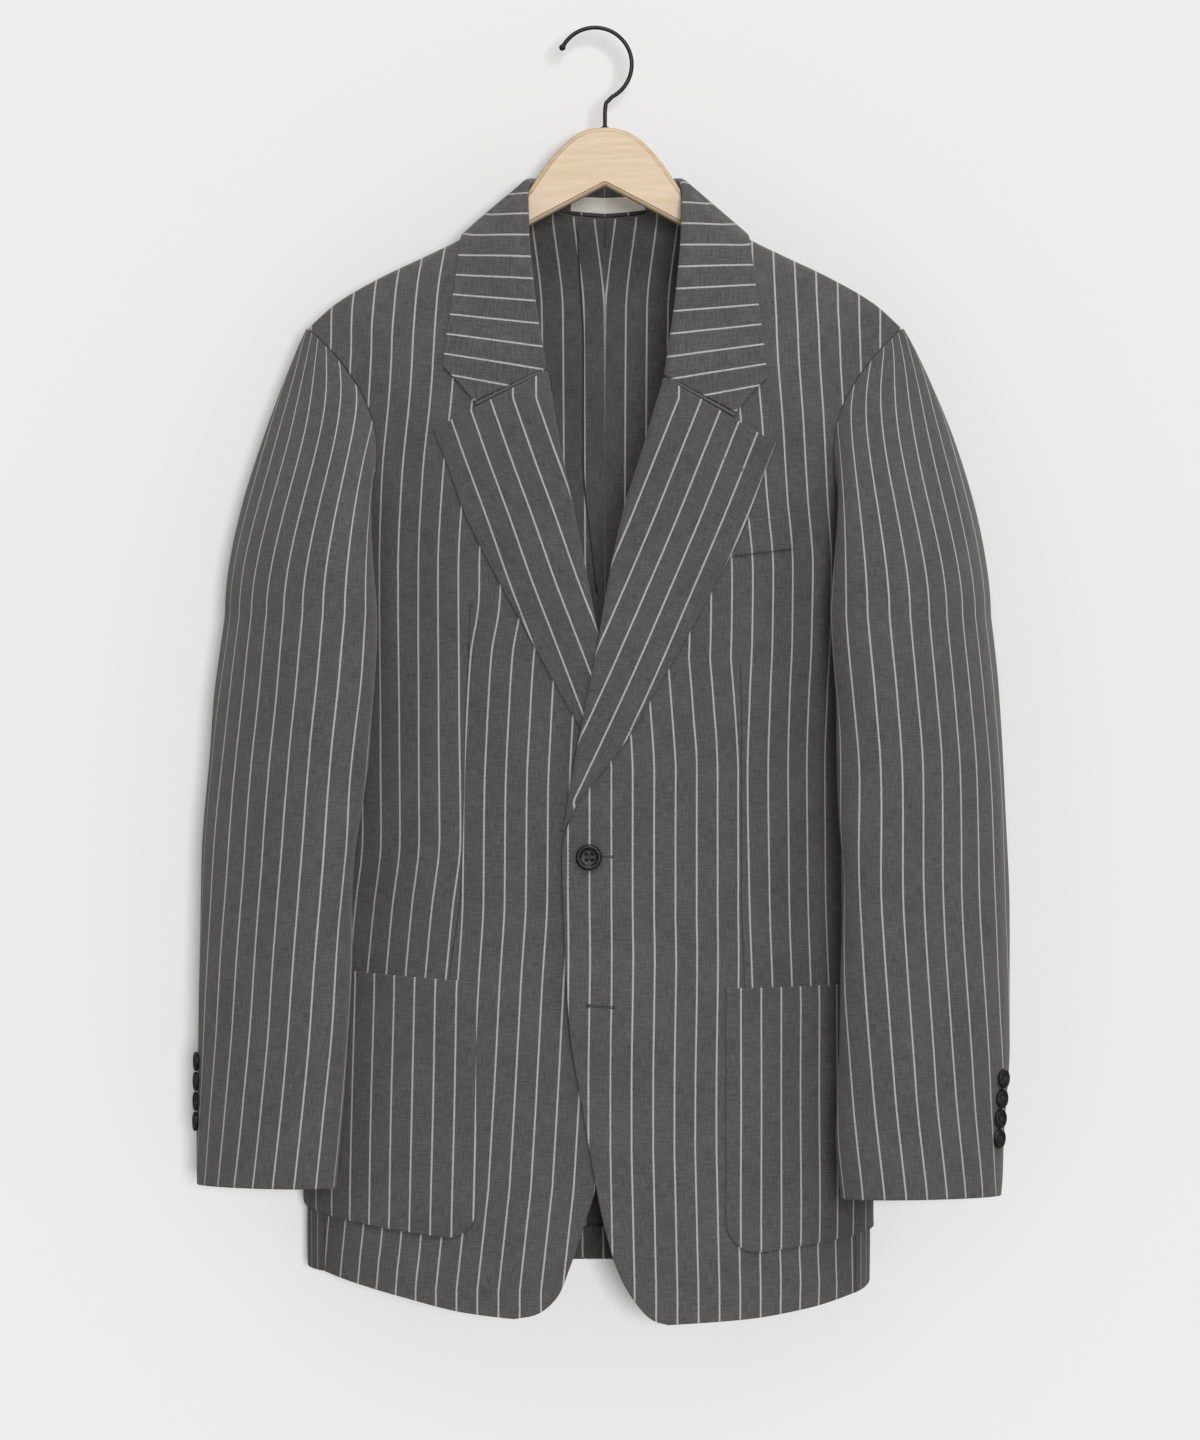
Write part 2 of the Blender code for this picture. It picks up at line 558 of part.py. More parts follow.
def pocket_point(side, u, v):
    """Patch pocket with rounded lower corners: u from the inner edge, v from the bottom."""
    inner_x, top, top_rise, bottom, bottom_rise, width, corner = POCKET[side]
    above = (top - bottom) * v**POCKET_ROW_CROWD
    inset = corner - math.sqrt(max(corner**2 - max(corner - above, 0) ** 2, 0))
    rise = bottom_rise + (top_rise - bottom_rise) * v
    z = bottom + above + rise * u
    start = girth_at(side, inner_x, z) + inset
    along = 1 - (1 - u) ** POCKET_COLUMN_CROWD
    return on_body(side, start + (width - 2 * inset) * along, z, LAYER + POCKET_SAG * u)


def breast_pocket_point(u, v):
    """Breast pocket's welt: u from beside the lapel to the armhole, v from the bottom."""
    inner = WELT_INNER[0] + (WELT_INNER[1] - WELT_INNER[0]) * v
    outer = WELT_OUTER[0] + (WELT_OUTER[1] - WELT_OUTER[0]) * v
    z = WELT_BOTTOM + WELT_HEIGHT * v + WELT_RISE * u
    x = inner + (outer - inner) * u
    return x, float(front_y(x, z)) - LAYER - 0.5 * SEAM_GAP, z


def hem_turn_point(u, v):
    """Turned-up hem inside the back, from side to side."""
    across = 2 * u - 1
    x = HEM_TURN_HALF * across
    z = HEM_BACK + 1.0 + HEM_TURN_HEIGHT * v - HEM_TURN_DROP * max(across, 0) ** 2
    return x, float(back_y(x, z)) + 0.5 * SHOULDER_GAP - LAYER, z


def label_point(u, v):
    """Bare label on the inside of the collar's stand."""
    across = LABEL_ROWS[0] + (LABEL_ROWS[1] - LABEL_ROWS[0]) * v
    x = LABEL_ENDS[0] + (LABEL_ENDS[1] - LABEL_ENDS[0]) * u
    row_width = COLLAR[1][0] * (len(COLLAR) - 1)
    x, y, z = collar_point(across, x / row_width)
    return x, y - FACING - 0.5, z


# ---------------------------------------------------------------- making solids
def to_world(point):
    x, y, z = point
    return ((x + HANG_X) * MM, y * MM, z * MM)


def material(name, colour, roughness, metallic=0.0):
    made = bpy.data.materials.new(name)
    made.use_nodes = True
    shader = made.node_tree.nodes["Principled BSDF"]
    shader.inputs["Base Color"].default_value = (*colour, 1.0)
    shader.inputs["Roughness"].default_value = roughness
    shader.inputs["Metallic"].default_value = metallic
    return made


def add_object(name, data, surface, collection):
    thing = bpy.data.objects.new(name, data)
    data.materials.append(surface)
    collection.objects.link(thing)
    return thing


def sheet(name, point, columns, rows, wall, surface, collection):
    """A cloth wall through a grid of points: point(u, v) with u and v from 0 to 1."""
    mesh = bpy.data.meshes.new(name)
    verts = [to_world(point(i / columns, j / rows)) for j in range(rows + 1)
             for i in range(columns + 1)]
    wide = columns + 1
    faces = [(j * wide + i, j * wide + i + 1, (j + 1) * wide + i + 1, (j + 1) * wide + i)
             for j in range(rows) for i in range(columns)]
    mesh.from_pydata(verts, [], faces)
    mesh.shade_smooth()
    thing = add_object(name, mesh, surface, collection)
    solid = thing.modifiers.new("wall", "SOLIDIFY")
    solid.thickness = wall * MM
    solid.offset = 0.0
    return thing


def build_body(cloth, collection):
    for side, word in ((-1, "left"), (1, "right")):
        sheet(f"front_{word}", lambda u, v: front_point(side, u, v), 11, 26, CLOTH, cloth, collection)
        sheet(f"back_{word}", lambda u, v: back_point(side, u, v), 11, 20, CLOTH, cloth, collection)
        sheet(f"side_panel_{word}", lambda u, v: side_point(side, u, v), 9, 14, CLOTH, cloth,
              collection)
    sheet("back_hem_turn", hem_turn_point, 16, 2, FACING, cloth, collection)


def build_sleeves(cloth, collection):
    gap = math.radians(0.5)
    top = (HINDARM_SEAM - 2 * math.pi + gap, FOREARM_SEAM - gap)
    under = (FOREARM_SEAM + gap, HINDARM_SEAM - gap)
    for side, word in ((-1, "left"), (1, "right")):
        for part, (start, end), columns in (("top", top, 14), ("under", under, 11)):
            sheet(f"sleeve_{part}_{word}",
                  lambda u, v: sleeve_point(side, start + (end - start) * u, v),
                  columns, 18, CLOTH, cloth, collection)


def build_collar(cloth, collection):
    sheet("collar", lambda u, v: collar_point(u, 2 * v - 1), COLLAR_COLS, 30, FACING, cloth, collection)
    for side, word in ((-1, "left"), (1, "right")):
        sheet(f"lapel_{word}", lambda u, v: lapel_point(side, u, v), LAPEL_COLS, 15, FACING,
              cloth, collection)


def build_pockets(cloth, collection):
    for side, word in ((-1, "left"), (1, "right")):
        sheet(f"patch_pocket_{word}", lambda u, v: pocket_point(side, u, v), 13, 8, FACING, cloth,
              collection)
    sheet("breast_pocket", breast_pocket_point, 4, 2, FACING, cloth, collection)


def turned_button(name, radius, thickness, steps, surface, collection):
    """A dished button turned about its own z axis, its back at z = 0."""
    profile = ((0, thickness * 0.72), (radius * 0.62, thickness * 0.72), (radius * 0.72, thickness),
               (radius * 0.92, thickness * 0.95), (radius, thickness * 0.6),
               (radius * 0.86, 0.0), (0, 0.0))
    mesh = bpy.data.meshes.new(name)
    mesh.from_pydata([(x * MM, 0, z * MM) for x, z in profile], [(i, i + 1) for i in range(6)], [])
    thing = add_object(name, mesh, surface, collection)
    screw = thing.modifiers.new("turn", "SCREW")
    screw.steps = screw.render_steps = steps
    screw.use_merge_vertices = True
    screw.merge_threshold = 0.00001
    return thing


def build_buttons(horn, collection):
    for name, z in BUTTON_HEIGHTS.items():
        side = 1 if name == "button_front" else -1
        button = turned_button(name, BUTTON_RADIUS, BUTTON_THICKNESS[name], 18, horn, collection)
        rim = [float(lapped_y(side, BUTTON_X + BUTTON_RADIUS * math.cos(a), z + BUTTON_RADIUS * math.sin(a)))
               for a in np.linspace(0, 2 * math.pi, 12)]
        y = min(rim) - 0.5 * SHOULDER_GAP - 0.5 * CLOTH - SEAM_GAP
        button.location = to_world((BUTTON_X, y, z))
        button.rotation_euler = (math.pi / 2, 0, 0)
    for side, word in ((-1, "left"), (1, "right")):
        for index in range(CUFF_BUTTONS):
            z = CUFF_BUTTON_TOP[side] - CUFF_BUTTON_PITCH * index
            angle = CUFF_BUTTON_ANGLE[side]
            along = sleeve_level(side, angle + 0.01, z) - sleeve_level(side, angle - 0.01, z)
            out = side * np.array((-along[1], along[0], 0.0)) / np.linalg.norm(along)
            point = sleeve_level(side, angle, z) + out * (0.5 * CLOTH + 1.2 * SEAM_GAP)
            button = turned_button(f"cuff_button_{word}_{index + 1}", CUFF_BUTTON_RADIUS,
                                   CUFF_BUTTON_THICKNESS, 12, horn, collection)
            button.location = to_world(point)
            button.rotation_euler = (math.pi / 2, 0, math.atan2(out[0], -out[1]))


def build_hanger(wood, steel, collection):
    along = np.linspace(0, WOOD_REACH, 20)
    top = np.where(along < WOOD_TOP[-1][0], smooth(along, *zip(*WOOD_TOP)),
                   shoulder_top(along) - WOOD_UNDER - WOOD_TIP_DROP * fade(along, 140, 190))
    bottom = smooth(along, *zip(*WOOD_BOTTOM))
    half = list(zip(along, top)) + list(zip(along[::-1], bottom[::-1]))
    outline = half + [(-x, z) for x, z in reversed(half) if x > 0]
    mesh = bpy.data.meshes.new("hanger_wood")
    mesh.from_pydata([to_world((x, 0, z)) for x, z in outline], [], [tuple(range(len(outline)))])
    board = add_object("hanger_wood", mesh, wood, collection)
    solid = board.modifiers.new("board", "SOLIDIFY")
    solid.thickness = WOOD_DEPTH * MM
    solid.offset = 0.0
    edge = board.modifiers.new("rounded", "BEVEL")
    edge.width = 4.0 * MM
    edge.segments = 2
    edge.angle_limit = math.radians(50)

    centre_x, centre_z = HOOK_CENTRE
    path = [(centre_x + HOOK_RADIUS * math.cos(angle), centre_z + HOOK_RADIUS * math.sin(angle))
            for angle in np.radians(np.linspace(*HOOK_TURN, 18))]
    path += HOOK_STEM
    curve = bpy.data.curves.new("hanger_hook", "CURVE")
    curve.dimensions = "3D"
    curve.bevel_depth = 0.5 * HOOK_WIRE * MM
    curve.bevel_resolution = 2
    curve.use_fill_caps = True
    spline = curve.splines.new("POLY")
    spline.points.add(len(path) - 1)
    for point, (x, z) in zip(spline.points, path):
        point.co = (x * MM, 0, z * MM, 1)
    for point, swell in zip(spline.points, HOOK_BALL):
        point.radius = swell
    add_object("hanger_hook", curve, steel, collection)


def main():
    for thing in list(bpy.data.objects):
        bpy.data.objects.remove(thing, do_unlink=True)
    collection = bpy.data.collections.new("single_breasted_jacket")
    bpy.context.scene.collection.children.link(collection)
    cloth = material("grey_pinstripe_cloth", (0.09, 0.088, 0.086), 0.9)
    tape = material("label_tape", (0.62, 0.6, 0.56), 0.8)
    horn = material("dark_horn", (0.02, 0.017, 0.016), 0.35)
    wood = material("pale_wood", (0.62, 0.48, 0.34), 0.5)
    steel = material("black_steel", (0.012, 0.012, 0.012), 0.35, 0.4)
    build_body(cloth, collection)
    build_sleeves(cloth, collection)
    build_collar(cloth, collection)
    build_pockets(cloth, collection)
    sheet("neck_label", label_point, 6, 2, LABEL_WALL, tape, collection)
    build_buttons(horn, collection)
    build_hanger(wood, steel, collection)


main()
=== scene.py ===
"""Looks of a single-breasted jacket on its hanger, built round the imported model.

Shapes are worked out in millimetres in the garment's own frame, as the CAD source has them: x to
the viewer's right from the centre-back seam, y to the back, z up from the crown of the hook. Left
and right are the viewer's; side is -1 or 1. Every cloth piece is a fine grid of points on the
garment's surface with its thickness, folds and UVs; a UV unit is one stripe's pitch of cloth.
"""
import json
import math
from functools import partial
from itertools import starmap

import bpy
import numpy as np
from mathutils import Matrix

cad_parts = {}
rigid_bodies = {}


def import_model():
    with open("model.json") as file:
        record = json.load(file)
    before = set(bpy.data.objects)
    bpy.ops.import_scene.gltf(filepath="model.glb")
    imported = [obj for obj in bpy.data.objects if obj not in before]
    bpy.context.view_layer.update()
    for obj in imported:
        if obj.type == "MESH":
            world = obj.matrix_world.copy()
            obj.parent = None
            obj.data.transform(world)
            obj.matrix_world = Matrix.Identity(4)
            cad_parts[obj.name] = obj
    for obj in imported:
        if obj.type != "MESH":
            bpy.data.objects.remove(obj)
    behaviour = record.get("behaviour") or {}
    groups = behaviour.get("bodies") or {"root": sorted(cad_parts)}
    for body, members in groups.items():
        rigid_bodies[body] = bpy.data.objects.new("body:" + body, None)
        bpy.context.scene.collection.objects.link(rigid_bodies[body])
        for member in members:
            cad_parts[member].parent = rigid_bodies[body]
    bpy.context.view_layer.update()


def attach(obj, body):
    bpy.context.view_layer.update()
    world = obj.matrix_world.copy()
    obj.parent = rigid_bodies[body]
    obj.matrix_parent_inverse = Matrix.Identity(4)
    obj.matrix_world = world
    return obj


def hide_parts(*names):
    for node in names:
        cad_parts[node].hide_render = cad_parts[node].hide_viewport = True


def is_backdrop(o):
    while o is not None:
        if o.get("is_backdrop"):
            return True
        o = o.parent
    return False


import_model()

MM = 0.001
PX = 0.73                 # millimetres in a pixel of the photograph
CENTRE_PX, CROWN_PX = 605.0, 25.0
HANG_X = 4.4
PITCH = 15.6              # of the stripes, in mm of cloth
CLOTH, FACING = 2.0, 1.6
SEAM_GAP, SHOULDER_GAP = 0.3, 0.9
LAYER = 0.5 * (CLOTH + FACING) + 0.7
SIDES = ((-1, "left"), (1, "right"))
TO_FRONT, TO_BACK = (0, -1, 0), (0, 1, 0)

# ------------------------------------------------------------------ the garment's sizes, as in CAD
NECK_HALF, NECK_TOP, NECK_BACK, NECK_DEPTH = 64.0, -123.0, -136.0, 48.0
SIDE_FULLNESS = 2.5
FRONT_ROUND, BACK_ROUND = 160.0, 140.0
ARMHOLE_MID, ARMHOLE_HALF, ARMHOLE_BOW, ARMHOLE_TIP = -310.0, 90.0, 0.225, 0.971
SEAM_PHI, SEAM_RATIO = math.radians(150.0), 0.942
SEAM_TOP = ARMHOLE_MID + ARMHOLE_HALF * math.cos(SEAM_PHI)
PANEL_SPLIT, NECK_SHARE, SIDE_CROWD, CORNER_CROWD, SHOULDER_REACH = 0.55, 0.36, 1.35, 1.6, 2.5
BODY_COLUMNS = ("height", "left", "right", "front", "back", "set_back")
BODY = (
    (-120, 226, 226, 54, 42, 8), (-220, 224, 224, 57, 44, 9), (-310, 219, 219, 58, 48, 20),
    (-400, 210, 206, 57, 47, 32), (-480, 212, 202, 53, 40, 36), (-560, 215, 198, 49, 35, 37),
    (-700, 217, 195, 46, 37, 36), (-850, 219, 195, 45, 41, 35), (-950, 219, 195, 45, 42, 35),
)
SHOULDER = ((64, -123), (81, -137.5), (103, -153.5), (130, -167), (164, -183), (197, -202),
            (218, -220.5))
FRONT_EDGE = {
    1: ((46, -948), (35.8, -945), (20.4, -929), (8.8, -907), (-0.7, -875), (-6.6, -847),
        (-13, -811), (-19, -777), (-24.8, -741), (-27.7, -705), (-30, -656), (-31.4, -602),
        (-31.4, -590), (-28.5, -581), (-25.5, -560), (-19.7, -528), (-13, -493.5), (-5, -453),
        (2.2, -410), (12.4, -361), (28.5, -308), (43, -259)),
    -1: ((-66, -946), (-51, -943), (-34.3, -929), (-25.6, -908), (-20.4, -893), (-14.6, -875),
         (-7.3, -850), (-1.5, -785), (5, -712), (7.3, -639), (8.8, -607), (9.5, -590),
         (8.8, -566), (5.8, -528), (1.5, -493.5), (-5, -449), (-12.4, -410), (-22, -361),
         (-33, -308), (-42.3, -254)),
}
GORGE = {1: -259.0, -1: -254.0}
FRONT_NECK = ((50, -245), (60, -205), (65.5, -165), (67.5, -140), (65.2, -123))
HEM = ((40, -946, -948), (100, -940, -945), (150, -929, -938), (195, -917, -926),
       (220, -908, -920))
HEM_LEVEL, HEM_BACK = -915.0, -907.0
HEM_BACK_SIDE = {1: -914.0, -1: -908.0}
LAP = ((-410, 0), (-480, 7.5), (-520, 8), (-570, 7), (-615, 5.2), (-670, 5.2), (-700, 8),
       (-730, 8), (-770, 4.6), (-880, 4.2), (-950, 3))
LAP_FULL, LAP_ENDS = 14.0, 85.0
HEM_TURN_HALF, HEM_TURN_HEIGHT, HEM_TURN_DROP = 150.0, 24.0, 4.0
LAPEL_COLUMNS = ("roll", "edge_x", "edge_z")
LAPEL = {
    1: ((-259, 124, -306), (-308, 113, -335), (-361, 103, -363), (-410, 87.6, -395),
        (-453, 57.7, -450), (-493, 36.5, -487), (-528, 19, -517), (-560, -2.2, -545),
        (-580, -20, -566), (-588, -25, -578)),
    -1: ((-254, -125, -296), (-303, -113, -327), (-352, -103, -355), (-400, -87.6, -387),
         (-446, -57.7, -442), (-486, -38, -478), (-518, -22, -506), (-545, -8, -530),
         (-562, 0, -546), (-573, 3.5, -559)),
}
ROLL_RADIUS, LAPEL_PUFF, LAPEL_TURNED = 2.6, 1.6, 0.4
COLLAR_COLUMNS = ("seam_x", "seam_y", "seam_z", "fold_x", "fold_y", "fold_z",
                  "edge_x", "edge_y", "edge_z", "notch")
COLLAR = (
    (0, 48, -134, 0, 50, -107, 0, 51, -157, 0),
    (28, 43.2, -131.6, 27, 46.5, -107, 38, 47, -157.5, 0),
    (48.5, 30.5, -126.2, 44, 34, -107.5, 72, 31, -158, 0),
    (59.3, 16.5, -122.6, 51.5, 17, -109, 92, 16, -153, 0),
    (62.5, 0, -120.3, 55.5, 0, -111.5, 104, 0, -150.5, 0),
    (65.6, -21.5, -138.5, 57, -14, -122, 107.5, -24, -171, 0),
    (63.6, -36, -164, 56, -33, -147, 109.5, -33, -190, 0),
    (58.2, -47.5, -204, 52, -51, -197, 113, -39, -221, -2),
    (48.4, -53.8, -244, 46, -58.5, -239, 117, -44, -248, -9),
    (46.0, -55.4, -255.5, 43.2, -58.2, -257, 118, -46, -261.5, -25.6),
)
NOTCH_AT, LEFT_RISE, FOLD_RADIUS = 0.68, 7.0, 2.2
COLLAR_STAND, COLLAR_TURNED = 3 / 13, 7 / 13
SLEEVE_COLUMNS = ("height", "inner", "outer", "middle", "half_depth", "turn")
SLEEVE = {
    -1: ((-430, 167, 277.8, -30, 50, 32), (-493, 168.3, 285.8, -35, 47, 34),
         (-523, 170, 288, -37, 45, 35), (-605, 181.8, 294, -39, 42, 35),
         (-690, 184.7, 295.7, -39, 40, 34), (-775, 189.8, 297, -37, 38, 32),
         (-847, 196.4, 297.8, -35, 36, 30)),
    1: ((-430, 165, 282, -30, 50, 30), (-485, 167, 287.6, -35, 47, 32),
        (-547, 169.4, 291, -38, 44, 33), (-645, 172.3, 295, -39, 41, 32),
        (-742, 171, 295, -38, 38, 30), (-807, 168.6, 291, -36, 36, 28),
        (-855, 172.3, 289, -35, 35, 27)),
}
SLEEVE_CAP, SLEEVE_CAP_END, SLEEVE_TWIST, SLEEVE_LEAN = 0.34, -430.0, math.radians(86.0), 0.4
HEAD_SPREAD = {-1: 0.22, 1: 0.32}
SLEEVE_SET_OUT, SLEEVE_SET_UP = 1.0, 1.6
FOREARM_SEAM, HINDARM_SEAM = math.radians(164.0), math.radians(333.0)
BUTTON_X, BUTTON_RADIUS, BUTTON_THICKNESS = -11.7, 9.5, {"button_front": 3.4, "button_lower": 2.8}
BUTTON_HEIGHTS = {"button_front": -607.0, "button_lower": -715.0}
CUFF_BUTTON_ANGLE = {-1: math.radians(8.0), 1: math.radians(24.0)}
CUFF_BUTTON_TOP = {-1: -757.0, 1: -768.7}
CUFF_BUTTON_PITCH, CUFF_BUTTON_RADIUS, CUFF_BUTTON_THICKNESS, CUFF_BUTTONS = 14.6, 7.2, 3.0, 4
POCKET = {1: (87.6, -703, 3, -896, 16, 150, 24), -1: (-93.4, -698, 14, -885, 20, 158, 22)}
POCKET_SAG, POCKET_ROW_CROWD, POCKET_COLUMN_CROWD = 0.9, 1.8, 1.5
WELT_INNER, WELT_OUTER = (91.5, 104.6), (137.2, 139.4)
WELT_BOTTOM, WELT_HEIGHT, WELT_RISE = -388.4, 26.4, 6.0
LABEL_ENDS, LABEL_ROWS, LABEL_WALL = (-25.5, 30.5), (0.02, 0.13), 0.8
HOOK_WIRE, HOOK_RADIUS, HOOK_CENTRE, HOOK_TURN = 3.0, 27.0, (-2.9, -25.5), (158.0, -62.0)
HOOK_STEM = ((5.2, -54.0), (4.6, -58.0), (4.4, -62.0), (4.4, -71.5))

# ------------------------------------------------------------------ where stripes run (pixels)
# One stripe of each field, traced down the photograph, and the line of each front's dart.
STRIPE_OUTER = {
    1: ((795, 261), (798, 354), (803, 426), (807, 497), (812, 569), (811, 640), (808.5, 697),
        (806.5, 774), (808, 890), (811, 984), (815, 1100), (819, 1287)),
    -1: ((446, 238), (438, 294), (432, 390), (423, 479), (418.6, 569), (419, 697), (420, 837),
         (412, 911), (406, 973), (396, 1090), (383, 1220), (376, 1290)),
}
STRIPE_INNER = {
    1: ((700, 560), (704.5, 607), (713, 704), (717, 777), (717, 897), (717.5, 952), (716, 1086),
        (716, 1287)),
    -1: ((504, 560), (499, 607), (492, 657), (488, 722), (485, 792), (484, 898), (479, 985),
         (473, 1100), (466, 1220), (462, 1290)),
}
STRIPES_BETWEEN = {1: -5, -1: 4}
DART = {
    1: ((737, 600), (739.5, 660), (741, 733), (741, 800), (741, 900), (744, 986), (741, 1100),
        (738, 1240)),
    -1: ((471, 590), (468.5, 660), (465.5, 733), (464, 800), (461, 890), (450, 975), (443, 1100),
         (438, 1240)),
}
DART_OPENS = (560, 650)
STRIPE_SLEEVE = {
    1: ((828, 474), (830, 533), (832, 604), (836.4, 700), (840, 774), (843.6, 952), (850, 1086),
        (861, 1193)),
    -1: ((378, 470), (373, 543), (369, 586), (365, 640), (361.4, 690), (355, 755), (349, 824),
         (344, 893), (338.5, 961), (333, 1040), (325, 1120), (318, 1184)),
}
STRIPE_LAPEL = {
    1: ((770, 400), (750, 450), (722, 520), (688, 600), (653, 680), (616, 760), (597, 800)),
    -1: ((445, 400), (466, 460), (488, 520), (509, 580), (532, 640), (555, 700), (578, 760)),
}
LAPEL_STRIPES_APART = 22.9
# Stripes met along the armhole: degrees round it, number of the stripe.
SLEEVE_HEAD = ((-180, 16), (-150, 15.4), (-120, 14.8), (-90, 14), (-68, 13), (-52, 12), (-40, 11),
               (-28, 10), (-17, 9), (-6, 8), (5, 7), (15.8, 6), (24, 5), (32.3, 4), (43.5, 3),
               (57.8, 2), (76.5, 1), (100, 0), (125, -0.9), (150, -1.7), (180, -2.2))
# Stripes met along the collar's fold and its outer edge, a number for each row of COLLAR.
COLLAR_FOLD_STRIPES = (-8, -6.4, -5.1, -3.9, -2.75, -2.08, -0.47, 2.56, 5.1, 6.3)
COLLAR_EDGE_STRIPES = (-8, -5.5, -3.1, -1.5, -0.23, 1.13, 2.4, 4.47, 6.26, 7.2)
# On the front of the collar: distance from the centre and height in pixels of one stripe at its
# fold and at its outer edge, and how far apart the stripes are there.
COLLAR_LINE, COLLAR_PITCHES = ((65.0, 236.1), (150.0, 234.4)), (22.5, 20.4)
COLLAR_RIGHT_LOWER = 10.3
BACK_SEAM_TAKES = ((-136, 0.5), (-205, 1.0), (-420, 1.08), (-560, 1.3), (-720, 1.2), (-910, 1.05))


# ------------------------------------------------------------------ curves through tables
def column(table, names, name):
    return [row[names.index(name)] for row in table]


def cubic(t):
    """Weights of start, slope at the start, end and slope at the end."""
    return 2 * t**3 - 3 * t**2 + 1, t**3 - 2 * t**2 + t, 3 * t**2 - 2 * t**3, t**3 - t**2


def smooth(at, stations, values):
    """Read values off the smooth curve through (station, value) pairs, without overshoot."""
    s = np.asarray(stations, float)
    v = np.asarray(values, float)
    if s[0] > s[-1]:
        s, v = s[::-1], v[::-1]
    step = np.diff(s)
    rise = np.diff(v) / step
    slope = np.empty_like(v)
    slope[0], slope[-1] = rise[0], rise[-1]
    before, after = rise[:-1], rise[1:]
    total = np.where(np.abs(before + after) < 1e-9, 1.0, before + after)
    slope[1:-1] = np.where(before * after > 0, 2 * before * after / total, 0.0)
    at = np.clip(np.asarray(at, float), s[0], s[-1])
    i = np.clip(np.searchsorted(s, at) - 1, 0, len(s) - 2)
    a, b, c, d = cubic((at - s[i]) / step[i])
    return a * v[i] + b * step[i] * slope[i] + c * v[i + 1] + d * step[i] * slope[i + 1]


def by_row(at, values):
    """Read between the rows of a table, at being a row's number."""
    return smooth(at, range(len(values)), values)


def fade(at, start, end):
    """0 before start, 1 past end, with a soft step between."""
    t = np.clip((np.asarray(at, float) - start) / (end - start), 0, 1)
    return t * t * (3 - 2 * t)


def unit(vectors):
    return vectors / np.linalg.norm(vectors, axis=-1, keepdims=True)


def summed(steps):
    """Running total along the last axis, starting from 0."""
    return np.concatenate((np.zeros(steps.shape[:-1] + (1,)), np.cumsum(steps, axis=-1)), axis=-1)


def path_lengths(path):
    """How far along a path each of its points lies."""
    return summed(np.linalg.norm(np.diff(path, axis=0), axis=1))


def garment_x(px):
    return (np.asarray(px, float) - CENTRE_PX) * PX


def garment_z(py):
    return -(np.asarray(py, float) - CROWN_PX) * PX


def place(px, py):
    return float(garment_x(px)), float(garment_z(py))


def pixels(x, z):
    return x / PX + CENTRE_PX, CROWN_PX - z / PX


def traced(points, z):
    """x of a line traced in pixels, at height z."""
    px, py = zip(*points)
    return smooth(z, garment_z(py), garment_x(px))


# ------------------------------------------------------------------ the body's surface
def body(name, z):
    return smooth(z, column(BODY, BODY_COLUMNS, "height"), column(BODY, BODY_COLUMNS, name))


def reach(side, z):
    return body("right" if side > 0 else "left", z)


def share(x, z):
    wide = np.where(np.asarray(x) > 0, reach(1, z), reach(-1, z))
    return np.clip(np.abs(x) / wide, 0, 1)


def hollow(ratio):
    return (1 - ratio**SIDE_FULLNESS) ** (1 / SIDE_FULLNESS)


def shoulder_top(x):
    return smooth(np.abs(x), *zip(*SHOULDER))


def neck_line(x):
    across = np.clip(np.abs(x) / NECK_HALF, 0, 1)
    return np.where(across < 1, NECK_BACK + (NECK_TOP - NECK_BACK) * across**2, shoulder_top(x))


def rounding(top, z, height):
    drop = np.clip((top - z) / height, 0, 1)
    return np.sqrt(1 - (1 - drop) ** 2)


def chest_y(x, z):
    ratio = share(x, z)
    return body("set_back", z) * ratio**2 - body("front", z) * hollow(ratio)


def blade_y(x, z):
    ratio = share(x, z)
    return body("set_back", z) * ratio**2 + body("back", z) * hollow(ratio)


def front_y(x, z):
    return chest_y(x, z) * rounding(shoulder_top(x), z, FRONT_ROUND)


def back_y(x, z):
    neck = NECK_DEPTH * np.sqrt(1 - np.clip(np.abs(x) / NECK_HALF, 0, 1) ** 2)
    return neck + (blade_y(x, z) - neck) * rounding(neck_line(x), z, BACK_ROUND)


def lapped_y(side, x, z):
    y = front_y(x, z)
    if side > 0:
        y = y - smooth(z, *zip(*LAP)) * (1 - fade(x, LAP_FULL, LAP_ENDS))
    return y


def hem_z(side, x):
    distance, left, right = zip(*HEM)
    return smooth(np.abs(x), distance, right if side > 0 else left)


def armhole(side, phi):
    z = ARMHOLE_MID + ARMHOLE_HALF * np.cos(phi)
    ratio = 1 - (1 - ARMHOLE_TIP) * (1 + np.cos(phi)) / 2 - ARMHOLE_BOW * np.sin(phi) ** 2
    x = side * ratio * reach(side, z)
    y = np.where(np.sin(phi) >= 0, front_y(x, z), back_y(x, z))
    return x, y, z


def ring(side, z, samples=160):
    """Half sections of the body at the heights z: girth from the centre front, x, y, normal."""
    turn = np.linspace(0, math.pi, samples)[None, :]
    level = np.asarray(z, float)[:, None] + 0 * turn
    x = side * np.sin(turn) ** (2 / SIDE_FULLNESS) * reach(side, level)
    y = np.where(turn < math.pi / 2, front_y(x, level), back_y(x, level))
    step = np.hypot(np.diff(x, axis=1), np.diff(y, axis=1))
    girth = summed(step)
    along_x = np.array([np.gradient(a, g) for a, g in zip(x, girth)])
    along_y = np.array([np.gradient(a, g) for a, g in zip(y, girth)])
    size = np.hypot(along_x, along_y)
    return girth, x, y, side * along_y / size, -side * along_x / size


# ------------------------------------------------------------------ measuring along the cloth
ARC_LEVELS = np.arange(-960.0, -110.0, 10.0)
ARC_TURNS = np.linspace(0, math.pi / 2, 140)


